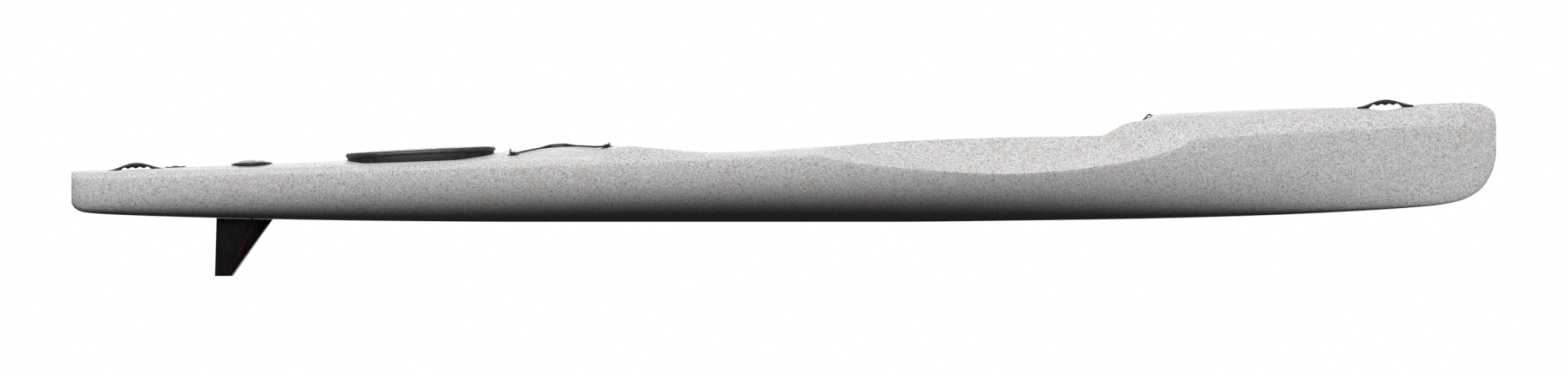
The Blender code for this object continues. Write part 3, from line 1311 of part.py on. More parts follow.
def strap_centre_line():
    half = BOARD_WIDTH / 2 - STRAP_END_INSET
    steps = 2 * STRAP_ARCH_STEPS
    line = []
    for step in range(steps + 1):
        y = half - 2 * half * step / steps
        swell = abs(math.sin(2 * math.pi * step / steps)) ** STRAP_ARCH_POWER
        line.append(Vector((-STRAP_REACH * swell - FIT_GAP - STRAP_THICKNESS / 2, y)))
    return line


def foot_strap(frame):
    line = strap_centre_line()
    rails = ([], [])
    for index, point in enumerate(line):
        along = (line[min(index + 1, len(line) - 1)] - line[max(index - 1, 0)]).normalized()
        offset = Vector((-along.y, along.x)) * STRAP_THICKNESS / 2
        rails[0].append(tuple(point + offset))
        rails[1].append(tuple(point - offset))
    lift = frame @ Matrix.Translation((0, 0, STRAP_HEIGHT))
    return plate("foot_strap", rails[0] + rails[1][::-1], STRAP_WIDTH, "webbing", lift)


# Bailer in the footwell floor

def bailer():
    x = station_x(BAILER_STATION)
    half_x, half_y = BAILER_LENGTH / 2, BAILER_WIDTH / 2
    floor = max(deck_height(x - half_x), deck_height(x + half_x), deck_height(x)) + FIT_GAP
    bottom = max(keel_height(x - half_x), keel_height(x + half_x)) + 2 * FIT_GAP
    top = floor + BAILER_FLANGE_THICKNESS
    centre = Matrix.Translation((x, 0, 0))
    housing = box("bailer_housing", (-half_x, -half_y, bottom), (half_x, half_y, floor), "fitting", centre)
    flange_low = (-half_x - BAILER_FLANGE, -half_y - BAILER_FLANGE, floor - BAILER_FLANGE_ROOT)
    flange_high = (half_x + BAILER_FLANGE, half_y + BAILER_FLANGE, top)
    flange = box("bailer_flange", flange_low, flange_high, None, centre)
    cut(flange, fitting_cutter)
    join(housing, flange)
    inner_x, inner_y = half_x - BAILER_WALL, half_y - BAILER_WALL
    bore_low = (-inner_x, -inner_y, bottom - CUTTER_REACH)
    cut(housing, box("bailer_bore", bore_low, (inner_x, inner_y, top + CUTTER_REACH), None, centre))
    side_x, side_y = half_x + FIT_GAP, half_y + FIT_GAP
    hole_low = (-side_x, -side_y, bottom - CUTTER_REACH)
    hull_hole(box("bailer_opening", hole_low, (side_x, side_y, top + CUTTER_REACH), None, centre))

    pin_x = inner_x - BAILER_PIN_INSET
    hinge = centre @ Matrix.Translation((pin_x, 0, bottom + BAILER_PIN_HEIGHT))
    across = hinge @ ACROSS
    seat = inner_y + BAILER_PIN_SEAT
    pin_bore = BAILER_PIN_RADIUS + BAILER_PIN_GAP
    cut(housing, cylinder("bailer_pin_bore", pin_bore, -seat, seat, None, across, SMALL_SIDES))
    pin_end = seat - FIT_GAP
    cylinder("bailer_pin", BAILER_PIN_RADIUS, -pin_end, pin_end, "stainless", across, SMALL_SIDES)
    flap_and_lever(hinge, across, pin_x + inner_x, inner_y - BAILER_CLEARANCE)
    return housing


def flap_and_lever(hinge, across, reach_aft, width):
    low = FIT_GAP - BAILER_PIN_HEIGHT
    top = low + BAILER_FLAP_THICKNESS
    fore = BAILER_PIN_INSET - BAILER_PIN_HEIGHT / 2
    flap_low = (BAILER_CLEARANCE - reach_aft, -width, low)
    flap = box("bailer_flap", flap_low, (fore, width, top), "fitting", hinge)
    ear_x = BAILER_EAR_HALF_LENGTH
    for near, far in ((-width, -width + BAILER_EAR_WIDTH), (width - BAILER_EAR_WIDTH, width)):
        ear_low = (-ear_x, near, (low + top) / 2)
        join(flap, box("flap_ear", ear_low, (ear_x, far, BAILER_EAR_TOP), None, hinge))
    half_x, half_y = BAILER_LEVER_THICKNESS / 2, BAILER_LEVER_WIDTH / 2
    lever_low = (-half_x, -half_y, top + FIT_GAP)
    lever = box("bailer_lever", lever_low, (half_x, half_y, BAILER_LEVER_RISE), "fitting", hinge)
    bore = BAILER_PIN_RADIUS + FIT_GAP
    for item in (flap, lever):
        cut(item, cylinder("hinge_bore", bore, -2 * width, 2 * width, None, across, SMALL_SIDES))
    add_bevel(lever, BAILER_LEVER_ROUND)


# Foam between the skins

def foam_block(name, stations, half_width, top=2 * HULL_BEAM):
    aft, fore = (station_x(share) for share in stations)
    item = box(name, (aft, -half_width, -HULL_BEAM), (fore, half_width, top), "foam")
    return keep_inside(item, foam_space)


# Assembly

carry_handle("bow_handle", BOW_HANDLE_STATION)
carry_handle("stern_handle", STERN_HANDLE_STATION)
rear_hatch()
rudder_port()
drain_fitting()
rudder_gear()
rudder_lines()
deck_bungee()
leash_eye()
footboard_track()
footboard()
bailer()

foam_space = add_object("foam_space", mesh_data("foam_space", hull_skin(HULL_WALL + FIT_GAP, HOLLOW_ENDS)))
foam_block("front_foam_pillar", FRONT_FOAM_STATIONS, FOAM_HALF_THICKNESS)
foam_block("rear_foam_pillar", REAR_FOAM_STATIONS, FOAM_HALF_THICKNESS)
foam_block("seat_foam_block", SEAT_FOAM_STATIONS, SEAT_FOAM_HALF_WIDTH, SEAT_FOAM_TOP)

hull = add_object("hull", mesh_data("hull", skin), "hull")
cut(hull, add_object("hull_hollow", mesh_data("hull_hollow", hull_skin(HULL_WALL, HOLLOW_ENDS))))
cut(hull, merged_cutter("hull_openings", hull_holes))
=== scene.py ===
import math

import bmesh
import bpy
from mathutils import Matrix, Vector
from mathutils.bvhtree import BVHTree


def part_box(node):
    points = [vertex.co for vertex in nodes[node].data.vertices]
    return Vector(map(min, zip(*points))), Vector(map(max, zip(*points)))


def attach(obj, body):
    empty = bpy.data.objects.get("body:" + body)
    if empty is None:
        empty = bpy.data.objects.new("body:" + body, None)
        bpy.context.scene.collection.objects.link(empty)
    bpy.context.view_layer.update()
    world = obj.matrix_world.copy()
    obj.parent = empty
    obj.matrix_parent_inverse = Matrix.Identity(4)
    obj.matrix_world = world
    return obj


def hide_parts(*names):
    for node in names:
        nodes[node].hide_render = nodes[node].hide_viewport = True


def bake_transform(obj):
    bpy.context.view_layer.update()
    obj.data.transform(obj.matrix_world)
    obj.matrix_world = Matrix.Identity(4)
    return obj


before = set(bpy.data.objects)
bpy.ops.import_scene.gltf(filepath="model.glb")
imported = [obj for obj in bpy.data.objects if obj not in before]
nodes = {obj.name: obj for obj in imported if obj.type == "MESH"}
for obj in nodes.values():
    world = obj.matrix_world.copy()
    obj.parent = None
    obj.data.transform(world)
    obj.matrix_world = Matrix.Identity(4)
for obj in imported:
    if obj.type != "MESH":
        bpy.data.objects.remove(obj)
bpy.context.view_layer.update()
print("frame loaded:", len(nodes), "nodes")

# Camera, square to the starboard side
cameraView = {"across": 4.70, "aimX": 0.0006, "aimZ": 0.1018, "distance": 9.0}
cameraData = bpy.data.cameras.new("sideCamera")
cameraData.type = "ORTHO"
cameraData.ortho_scale = cameraView["across"]
camera = bpy.data.objects.new("sideCamera", cameraData)
camera.location = (cameraView["aimX"], -cameraView["distance"], cameraView["aimZ"])
camera.rotation_euler = (math.radians(90), 0, 0)
bpy.context.scene.collection.objects.link(camera)
bpy.context.scene.camera = camera
bpy.context.scene.view_settings.view_transform = "Standard"


def asObject(mesh, name):
    data = bpy.data.meshes.new(name)
    mesh.to_mesh(data)
    mesh.free()
    item = bpy.data.objects.new(name, data)
    bpy.context.scene.collection.objects.link(item)
    return item


# Node helpers

def addNode(tree, kind, inputs=None, **settings):
    made = tree.nodes.new(kind)
    for key, value in settings.items():
        setattr(made, key, value)
    for socket, value in (inputs or {}).items():
        if isinstance(value, bpy.types.NodeSocket):
            tree.links.new(value, made.inputs[socket])
        else:
            made.inputs[socket].default_value = value
    return made


def mixColour(tree, factor, first, second):
    first, second = [c if isinstance(c, bpy.types.NodeSocket) else (*c, 1.0) for c in (first, second)]
    return addNode(tree, "ShaderNodeMix", {0: factor, 6: first, 7: second}, data_type="RGBA").outputs[2]


def ramp(tree, value, low, high, toLow=0.0, toHigh=1.0):
    sockets = {"Value": value, "From Min": low, "From Max": high, "To Min": toLow, "To Max": toHigh}
    return addNode(tree, "ShaderNodeMapRange", sockets, interpolation_type="SMOOTHSTEP").outputs[0]


def maths(tree, operation, first, second=0.0):
    return addNode(tree, "ShaderNodeMath", {0: first, 1: second}, operation=operation).outputs[0]


def times(tree, first, second):
    return maths(tree, "MULTIPLY", first, second)


def axes(tree, vector):
    return addNode(tree, "ShaderNodeSeparateXYZ", {0: vector}).outputs


def stretched(tree, vector, scale):
    return addNode(tree, "ShaderNodeMapping", {"Vector": vector, "Scale": scale}).outputs[0]


def noiseOf(tree, vector, scale, detail=2.0, rough=0.5):
    sockets = {"Vector": vector, "Scale": scale, "Detail": detail, "Roughness": rough}
    return addNode(tree, "ShaderNodeTexNoise", sockets).outputs[0]


def newMaterial(name, colour, roughness, specular=0.5, metallic=0.0):
    material = bpy.data.materials.new(name)
    material.use_nodes = True
    tree = material.node_tree
    shader = tree.nodes["Principled BSDF"]
    shader.inputs["Base Color"].default_value = (*colour, 1.0)
    shader.inputs["Roughness"].default_value = roughness
    shader.inputs["Specular IOR Level"].default_value = specular
    shader.inputs["Metallic"].default_value = metallic
    material.diffuse_color = (*colour, 1.0)
    return material, tree, shader, addNode(tree, "ShaderNodeTexCoord").outputs


def paint(tree, shader, colour, roughness=None):
    tree.links.new(colour, shader.inputs["Base Color"])
    if roughness is not None:
        tree.links.new(roughness, shader.inputs["Roughness"])


def setBump(tree, shader, height, distance, strength):
    bump = addNode(tree, "ShaderNodeBump", {"Height": height, "Distance": distance, "Strength": strength})
    tree.links.new(bump.outputs[0], shader.inputs["Normal"])


# Room, floor and lamps
room = {
    "floorHeight": -0.166, "floorSize": 60.0, "floorPale": 0.86, "floorBounce": 0.03,
    "skyTop": 0.38, "skyLevel": 0.08, "skyLow": 0.0, "lowAt": -0.15, "mirrored": 0.55, "horizonBlur": 0.02,
}


def glow(tree, strength):
    return addNode(tree, "ShaderNodeBackground", {"Color": (1, 1, 1, 1), "Strength": strength}).outputs[0]


def eitherShader(tree, factor, first, second):
    return addNode(tree, "ShaderNodeMixShader", {0: factor, 1: first, 2: second}).outputs[0]


def makeRoom():
    world = bpy.data.worlds.new("paleRoom")
    bpy.context.scene.world = world
    world.use_nodes = True
    tree = world.node_tree
    tree.nodes.clear()
    height = axes(tree, addNode(tree, "ShaderNodeTexCoord").outputs["Generated"])[2]
    upper = ramp(tree, height, 0.0, 1.0, room["skyLevel"], room["skyTop"])
    lower = ramp(tree, height, room["lowAt"], 0.0, room["skyLow"], room["skyLevel"])
    rays = addNode(tree, "ShaderNodeLightPath").outputs
    above = ramp(tree, height, -room["horizonBlur"], room["horizonBlur"], 0.0, room["mirrored"])
    shiny = glow(tree, times(tree, rays["Is Glossy Ray"], above))
    soft = eitherShader(tree, rays["Is Glossy Ray"], glow(tree, maths(tree, "MINIMUM", upper, lower)), shiny)
    straight = maths(tree, "MAXIMUM", rays["Is Camera Ray"], rays["Is Transmission Ray"])
    addNode(tree, "ShaderNodeOutputWorld", {"Surface": eitherShader(tree, straight, soft, glow(tree, 1.0))})


def makeFloor():
    mesh = bmesh.new()
    bmesh.ops.create_grid(mesh, x_segments=1, y_segments=1, size=room["floorSize"] / 2)
    floor = asObject(mesh, "paleFloor")
    floor.data.transform(Matrix.Translation((0, 0, room["floorHeight"])))
    material, tree, shader, _ = newMaterial("floorPaint", (0.9, 0.9, 0.9), 0.9, 0.0)
    tree.nodes.remove(shader)
    pale, dark = [addNode(tree, "ShaderNodeBsdfDiffuse", {"Color": (*[room[level]] * 3, 1)}).outputs[0]
                  for level in ("floorPale", "floorBounce")]
    rays = addNode(tree, "ShaderNodeLightPath").outputs
    bounce = maths(tree, "MAXIMUM", rays["Is Diffuse Ray"], rays["Is Glossy Ray"])
    tree.links.new(eitherShader(tree, bounce, pale, dark), tree.nodes["Material Output"].inputs["Surface"])
    floor.data.materials.append(material)


# wide, far lamps: where each stands, how broad it looks (degrees) and its strength
lamps = {
    "overhead": {"place": (0.0, 0.0, 1.0), "spread": 70.0, "strength": 0.41},
    "starboardKey": {"place": (-0.10, -0.85, 0.55), "spread": 30.0, "strength": 3.0},
    "portFill": {"place": (0.10, 0.88, 0.47), "spread": 40.0, "strength": 1.0},
}


def makeLamps():
    for name, lamp in lamps.items():
        data = bpy.data.lights.new(name, "SUN")
        data.angle = math.radians(lamp["spread"])
        data.energy = lamp["strength"]
        item = bpy.data.objects.new(name, data)
        item.rotation_euler = Vector(lamp["place"]).to_track_quat("Z", "Y").to_euler()
        bpy.context.scene.collection.objects.link(item)


makeRoom()
makeFloor()
makeLamps()
print("room, floor and lamps set")


# Finishes
granite = {
    "pale": (0.815, 0.802, 0.797), "shade": (0.470, 0.463, 0.465), "dark": (0.055, 0.053, 0.055),
    "tan": (0.480, 0.325, 0.250), "roughness": 0.48, "specular": 0.14, "grain": 205.0,
    "specks": ((480.0, 0.30, 0.60), (265.0, 0.30, 0.95), (175.0, 0.05, 0.95)),
    "patches": 19.0, "patchSpread": 3.0, "tanInSpecks": 0.9, "tanBetween": 0.10, "waver": 0.0022,
    "waverScale": 420.0, "bumpScale": 210.0, "bumpDepth": 0.0012, "bumpStrength": 0.16,
}


def speckMask(tree, where, scale, share, strength):
    # one cell in so many is a speck, each of its own depth, soft at its edge
    cells = addNode(tree, "ShaderNodeTexVoronoi", {"Vector": where, "Scale": scale})
    lots = addNode(tree, "ShaderNodeSeparateColor", {0: cells.outputs["Color"]}).outputs
    depth = ramp(tree, lots[0], share, 0.0, 0.0, strength)
    return times(tree, depth, ramp(tree, cells.outputs["Distance"], 0.68, 0.22))


def graniteFinish():
    g = granite
    material, tree, shader, spots = newMaterial(
        "granitePolyethylene", g["pale"], g["roughness"], g["specular"])
    where = spots["Object"]
    noise = {"Vector": where, "Scale": g["waverScale"], "Detail": 2.0}
    flecked = addNode(tree, "ShaderNodeTexNoise", noise).outputs["Color"]
    for operation, sockets in (
            ("SUBTRACT", {1: (0.5, 0.5, 0.5)}), ("SCALE", {"Scale": g["waver"]}), ("ADD", {1: where})):
        node = addNode(tree, "ShaderNodeVectorMath", {0: flecked, **sockets}, operation=operation)
        flecked = node.outputs[0]
    specks = 0.0
    for scale, share, strength in g["specks"]:
        specks = maths(tree, "MAXIMUM", speckMask(tree, flecked, scale, share, strength), specks)
    grain = ramp(tree, noiseOf(tree, where, g["grain"], 4.0, 0.75), 0.36, 0.64)
    patches = times(tree, ramp(tree, noiseOf(tree, where, g["patches"], 1.5), 0.56, 0.66),
                    ramp(tree, noiseOf(tree, where, g["patchSpread"], 1.0), 0.40, 0.55))
    colour = mixColour(tree, grain, g["pale"], g["shade"])
    warm = mixColour(tree, times(tree, patches, g["tanBetween"]), colour, g["tan"])
    tint = mixColour(tree, times(tree, patches, g["tanInSpecks"]), g["dark"], g["tan"])
    deeper = times(tree, specks, maths(tree, "ADD", 0.85, times(tree, patches, 0.90)))
    scuff = noiseOf(tree, stretched(tree, where, (3.0, 40.0, 40.0)), 6.0, 4.0, 0.6)
    paint(tree, shader, mixColour(tree, maths(tree, "MINIMUM", deeper, 1.0), warm, tint),
          ramp(tree, scuff, 0.35, 0.70, g["roughness"] - 0.05, g["roughness"] + 0.08))
    setBump(tree, shader, noiseOf(tree, where, g["bumpScale"], 3.0), g["bumpDepth"], g["bumpStrength"])
    return material


def mouldedFinish(name, colour, roughness, specular, grain, depth):
    material, tree, shader, spots = newMaterial(name, colour, roughness, specular)
    where = spots["Object"]
    wearAndSheen = noiseOf(tree, where, grain / 28, 3.0, 0.55)
    lighter = tuple(min(1.0, c * 1.9 + 0.006) for c in colour)
    paint(tree, shader, mixColour(tree, ramp(tree, wearAndSheen, 0.42, 0.75), colour, lighter),
          ramp(tree, wearAndSheen, 0.30, 0.70, roughness - 0.07, roughness + 0.10))
    setBump(tree, shader, noiseOf(tree, where, grain, 3.0, 0.6), depth, 0.5)
    return material


# where the red line and the leading edge with its painted highlight run, top and tip, in metres along and up
bladeLine = {
    "line": ((-1.58423, 0.00705), (-1.66674, -0.16005)), "halfWidth": 0.0014,
    "edge": ((-1.53142, 0.0065), (-1.65142, -0.1625)),
    "wornFrom": (0.0011, 0.0022), "wornTo": (0.0048, 0.0036),
}


def besideLine(tree, parts, top, tip):
    # how far a point lies off a line on the blade's side, more than 0 on its aft side
    along, up = top[0] - tip[0], top[1] - tip[1]
    reach = math.hypot(along, up)
    sideX = times(tree, maths(tree, "SUBTRACT", parts[0], top[0]), -up / reach)
    sideZ = times(tree, maths(tree, "SUBTRACT", parts[2], top[1]), along / reach)
    return maths(tree, "ADD", sideX, sideZ)


def bladeFinish():
    b = bladeLine
    material, tree, shader, spots = newMaterial("bladeGloss", (0.0025, 0.0025, 0.0027), 0.24, 0.14)
    where = spots["Object"]
    parts = axes(tree, where)
    off = maths(tree, "ABSOLUTE", besideLine(tree, parts, *b["line"]))
    line = ramp(tree, off, b["halfWidth"] * 1.4, b["halfWidth"] * 0.6)
    inward = besideLine(tree, parts, *b["edge"])
    # painted highlight: a light grey band a little inside the leading edge, standing in for light caught
    # there
    wearAndSheen = times(tree, ramp(tree, inward, *b["wornFrom"]), ramp(tree, inward, *b["wornTo"]))
    smear = noiseOf(tree, stretched(tree, where, (1.0, 1.0, 0.25)), 55.0, 3.0)
    colour = mixColour(tree, ramp(tree, smear, 0.4, 0.8), (0.0022, 0.0022, 0.0024), (0.0030, 0.0030, 0.0032))
    # the painted highlight is laid over the black in light grey
    colour = mixColour(tree, times(tree, wearAndSheen, 0.9), colour, (0.34, 0.34, 0.35))
    lined = mixColour(tree, line, colour, (0.060, 0.003, 0.003))
    paint(tree, shader, lined, ramp(tree, smear, 0.3, 0.8, 0.24, 0.32))
    return material


def metalFinish(name, colour, roughness, stretch):
    material, tree, shader, spots = newMaterial(name, colour, roughness, 0.5, 1.0)
    streaks = noiseOf(tree, stretched(tree, spots["Object"], stretch), 300.0, 4.0, 0.7)
    darker = tuple(c * 0.72 for c in colour)
    paint(tree, shader, mixColour(tree, ramp(tree, streaks, 0.35, 0.65), darker, colour),
          ramp(tree, streaks, 0.3, 0.7, roughness - 0.08, roughness + 0.10))
    setBump(tree, shader, streaks, 0.0002, 0.4)
    return material


def braidFinish(name, colour, dark, pitch, roughness):
    # pitch: strands round the cord, and strands along a metre of it; the UV map is in turns and metres
    material, tree, shader, spots = newMaterial(name, colour, roughness, 0.25)
    parts = axes(tree, spots["UV"])
    turns, length = times(tree, parts[0], pitch[0]), times(tree, parts[1], pitch[1])
    left, right = [maths(tree, "SINE", times(tree, maths(tree, way, turns, length), 2 * math.pi))
                   for way in ("ADD", "SUBTRACT")]
    strands = ramp(tree, times(tree, left, right), -0.7, 0.7)
    paint(tree, shader, mixColour(tree, strands, dark, colour))
    setBump(tree, shader, strands, 0.0005, 0.7)
    return material


def webbingFinish():
    # the UV map is in metres: a herringbone of ribs 1.1 mm apart, turned each 6 mm across the strap
    material, tree, shader, spots = newMaterial("wovenWebbing", (0.030, 0.030, 0.033), 0.88, 0.2)
    parts = axes(tree, spots["UV"])
    half = maths(tree, "PINGPONG", parts[0], 0.006)
    slant = times(tree, maths(tree, "ADD", parts[1], half), 2 * math.pi / 0.0022)
    ribs = ramp(tree, maths(tree, "SINE", slant), -0.8, 0.8)
    fuzz = noiseOf(tree, stretched(tree, spots["UV"], (2200.0, 500.0, 1.0)), 1.0, 2.0)
    colour = mixColour(tree, ribs, (0.014, 0.014, 0.016), (0.055, 0.055, 0.058))
    paint(tree, shader, mixColour(tree, ramp(tree, fuzz, 0.55, 0.8), colour, (0.09, 0.09, 0.09)))
    setBump(tree, shader, ribs, 0.0006, 0.8)
    return material


def foamFinish():
    material, tree, shader, spots = newMaterial("closedCellFoam", (0.14, 0.14, 0.15), 0.95, 0.1)
    cells = addNode(tree, "ShaderNodeTexVoronoi", {"Vector": spots["Object"], "Scale": 900.0})
    pores = ramp(tree, cells.outputs["Distance"], 0.15, 0.6)
    paint(tree, shader, mixColour(tree, pores, (0.08, 0.08, 0.085), (0.18, 0.18, 0.19)))
    setBump(tree, shader, pores, 0.0008, 0.6)
    return material


satinNylon = mouldedFinish("satinNylon", (0.014, 0.014, 0.0145), 0.36, 0.34, 1500.0, 0.00012)
finishes = {
    "hull_polyethylene": graniteFinish(),
    "black_fitting": mouldedFinish("mouldedNylon", (0.0085, 0.0085, 0.009), 0.42, 0.18, 1500.0, 0.0003),
    "black_rubber": mouldedFinish("hatchRubber", (0.024, 0.024, 0.0245), 0.34, 0.46, 1100.0, 0.0003),
    "rudder_black": bladeFinish(),
    "stainless": metalFinish("brushedSteel", (0.60, 0.60, 0.61), 0.30, (1.0, 1.0, 0.05)),
    "anodised_aluminium": metalFinish("anodisedAluminium", (0.42, 0.43, 0.44), 0.38, (0.03, 1.0, 1.0)),
    "white_nylon": mouldedFinish("turnedNylon", (0.74, 0.74, 0.70), 0.45, 0.4, 900.0, 0.0003),
    "conduit_plastic": mouldedFinish("conduitTube", (0.62, 0.63, 0.64), 0.35, 0.4, 700.0, 0.0003),
    "bungee_cord": braidFinish("bungeeSheath",
        (0.026, 0.026, 0.028), (0.006, 0.006, 0.007), (6.0, 260.0), 0.75),
    "rudder_line": braidFinish("lineBraid", (0.74, 0.73, 0.67), (0.30, 0.29, 0.26), (4.0, 420.0), 0.80),
    "webbing": webbingFinish(),
    "foam": foamFinish(),
}
print("finishes made:", len(finishes))


# Mesh helpers
weld = 0.000005
seamWeld = 0.00001
sliver = 0.000002


def faceOut(mesh):
    # faces that were moved still hold their old normals, which would mislead the recalculation
    mesh.normal_update()
    bmesh.ops.recalc_face_normals(mesh, faces=mesh.faces)


def gridBody(across, along, place, uvSize=(1.0, 1.0), closeEnds=False):
    mesh = bmesh.new()
    bmesh.ops.create_grid(mesh, x_segments=across, y_segments=along, size=0.5)
    layer = mesh.loops.layers.uv.new("surface")
    for face in mesh.faces:
        for loop in face.loops:
            spot = loop.vert.co
            loop[layer].uv = ((spot.x + 0.5) * uvSize[0], (spot.y + 0.5) * uvSize[1])
    for vert in mesh.verts:
        vert.co = place(round((vert.co.x + 0.5) * across), round((vert.co.y + 0.5) * along))
    bmesh.ops.remove_doubles(mesh, verts=mesh.verts, dist=weld)
    bmesh.ops.dissolve_degenerate(mesh, edges=mesh.edges, dist=sliver)
    if closeEnds:
        closeHoles(mesh)
    faceOut(mesh)
    return mesh


def closeHoles(mesh):
    bmesh.ops.holes_fill(mesh, edges=[edge for edge in mesh.edges if edge.is_boundary], sides=0)


def wholeOf(mesh):
    return mesh.verts[:] + mesh.edges[:] + mesh.faces[:]


def addPiece(name, mesh, slot, body, replaced=(), angle=38.0, finish=None):
    piece = asObject(mesh, name)
    piece.data.materials.append(finish or finishes[slot])
    piece.data.shade_smooth()
    piece.data.set_sharp_from_angle(angle=math.radians(angle))
    if body:
        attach(piece, body)
    if replaced:
        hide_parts(*replaced)
    return piece


def bevelSharp(mesh, width, segments=2, angle=35.0):
    sharp = [edge for edge in mesh.edges
             if len(edge.link_faces) == 2 and edge.calc_face_angle(0.0) > math.radians(angle)]
    bmesh.ops.bevel(
        mesh, geom=sharp, offset=width, offset_type="OFFSET", segments=segments, profile=0.5,
        affect="EDGES", clamp_overlap=True, material=-1)


def plainName(node):
    first, *others = node.split("_")
    return first + "".join(part.capitalize() for part in others)


def packedMesh(node, flat):
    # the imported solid's own mesh, its loose triangles merged and its flats made whole
    mesh = bmesh.new()
    mesh.from_mesh(nodes[node].data)
    bmesh.ops.remove_doubles(mesh, verts=mesh.verts, dist=seamWeld)
    bmesh.ops.dissolve_limit(mesh, angle_limit=math.radians(flat), verts=mesh.verts, edges=mesh.edges)
    return mesh


def softened(node, slot, body, width):
    mesh = packedMesh(node, 2)
    faceOut(mesh)
    bevelSharp(mesh, width)
    faceOut(mesh)
    return addPiece(plainName(node), mesh, slot, body, [node])


def eased(value):
    value = min(max(value, 0.0), 1.0)
    return 3 * value ** 2 - 2 * value ** 3


def signedPower(value, power):
    return math.copysign(abs(value) ** power, value)


def standing(spot, up):
    # a frame at the spot with its Z along up
    return Matrix.Translation(spot) @ up.to_track_quat("Z", "Y").to_matrix().to_4x4()


def smoothThrough(points, steps):
    line = [Vector(point) for point in points]
    padded = [2 * line[0] - line[1]] + line + [2 * line[-1] - line[-2]]
    out = []
    for k in range(len(line) - 1):
        a, b, c, d = padded[k:k + 4]
        t1 = max((b - a).length, 0.000001) ** 0.5
        t2 = t1 + max((c - b).length, 0.000001) ** 0.5
        t3 = t2 + max((d - c).length, 0.000001) ** 0.5
        count = steps[k] if isinstance(steps, (list, tuple)) else steps
        for step in range(count):
            t = t1 + (t2 - t1) * step / count
            first, second = a.lerp(b, t / t1), b.lerp(c, (t - t1) / (t2 - t1))
            third = c.lerp(d, (t - t2) / (t3 - t2))
            early, late = first.lerp(second, t / t2), second.lerp(third, (t - t1) / (t3 - t1))
            out.append(early.lerp(late, (t - t1) / (t2 - t1)))
    out.append(line[-1])
    return out


def lengthOf(line):
    return sum((b - a).length for a, b in zip(line, line[1:]))


def tubeBody(points, radius, around, closed=False):
    line = [Vector(point) for point in points]
    count = len(line)
    heads = []
    for k in range(count):
        after = line[(k + 1) % count] if closed else line[min(k + 1, count - 1)]
        before = line[k - 1] if closed else line[max(k - 1, 0)]
        heads.append((after - before).normalized())
    sides = [heads[0].orthogonal().normalized()]
    for k in range(1, count):
        turn = heads[k - 1].rotation_difference(heads[k])
        sides.append((turn @ sides[-1]).normalized())
    if closed:
        back = heads[-1].rotation_difference(heads[0]) @ sides[-1]
        twist = math.atan2(heads[0].dot(sides[0].cross(back)), sides[0].dot(back))
        for k in range(count):
            sides[k] = Matrix.Rotation(-twist * k / count, 3, heads[k]) @ sides[k]

    def place(i, j):
        k = j % count
        other = heads[k].cross(sides[k])
        angle = 2 * math.pi * (i % around) / around
        return line[k] + radius * (math.cos(angle) * sides[k] + math.sin(angle) * other)

    return gridBody(around, count if closed else count - 1, place, (1.0, lengthOf(line)), not closed)


def spunBody(profile, sides):
    mesh = bmesh.new()
    points = [mesh.verts.new((radius, 0, height)) for radius, height in profile]
    edges = [mesh.edges.new(pair) for pair in zip(points, points[1:])]
    if profile[0][0] > 0:
        edges.append(mesh.edges.new((points[-1], points[0])))
    bmesh.ops.spin(
        mesh, geom=points + edges, cent=(0, 0, 0), axis=(0, 0, 1), angle=2 * math.pi,
        steps=sides, use_merge=True, use_normal_flip=False, use_duplicate=False, dvec=(0, 0, 0))
    bmesh.ops.remove_doubles(mesh, verts=mesh.verts, dist=weld)
    faceOut(mesh)
    return mesh


def ovalPoint(turn, length, width, power):
    c, s = math.cos(2 * math.pi * turn), math.sin(2 * math.pi * turn)
    return length / 2 * signedPower(c, 2 / power), width / 2 * signedPower(s, 2 / power)


def ovalLevels(form, steps):
    # steps: inset from the edge, share of the oval and height
    return [(form["length"] * share - 2 * inset, form["width"] * share - 2 * inset, form["power"], height)
            for inset, share, height in steps]


def roundLevels(steps):
    return [(2 * radius, 2 * radius, 2.0, height) for radius, height in steps]


def stackedBody(levels, sides, place, closeEnds=False):
    # rings one above the other; a height of None lies on the deck
    def spotAt(i, j):
        *oval, height = levels[j]
        x, y = ovalPoint((i % sides) / sides, *oval)
        return onDeck(place, (x, y)) if height is None else place @ Vector((x, y, height))

    return gridBody(sides, len(levels) - 1, spotAt, closeEnds=closeEnds)


def plateBody(outline, thickness, matrix=Matrix()):
    mesh = bmesh.new()
    ring = [mesh.verts.new((x, y, -thickness / 2)) for x, y in outline]
    face = bmesh.ops.contextual_create(mesh, geom=ring)["faces"]
    made = bmesh.ops.extrude_face_region(mesh, geom=face)
    moved = [part for part in made["geom"] if isinstance(part, bmesh.types.BMVert)]
    bmesh.ops.translate(mesh, verts=moved, vec=(0, 0, thickness))
    faceOut(mesh)
    mesh.transform(matrix)
    return mesh


def boxBody(low, high, rounding=0.0, segments=2):
    mesh = bmesh.new()
    low, high = Vector(low), Vector(high)
    place = Matrix.Translation((low + high) / 2) @ Matrix.Diagonal((*(high - low), 1.0))
    bmesh.ops.create_cube(mesh, size=1.0, matrix=place)
    if rounding:
        bevelSharp(mesh, rounding, segments)
    return mesh


def planeCut(mesh, spot, out):
    # everything on the side that out points to goes, and the cut is closed
    made = bmesh.ops.bisect_plane(
        mesh, geom=wholeOf(mesh), dist=0.000001, plane_co=spot, plane_no=out, clear_outer=True)
    edges = [part for part in made["geom_cut"] if isinstance(part, bmesh.types.BMEdge)]
    bmesh.ops.edgeloop_fill(mesh, edges=edges)


def joined(first, *others):
    for other in others:
        data = bpy.data.meshes.new("joining")
        other.to_mesh(data)
        other.free()
        first.from_mesh(data)
        bpy.data.meshes.remove(data)
    return first


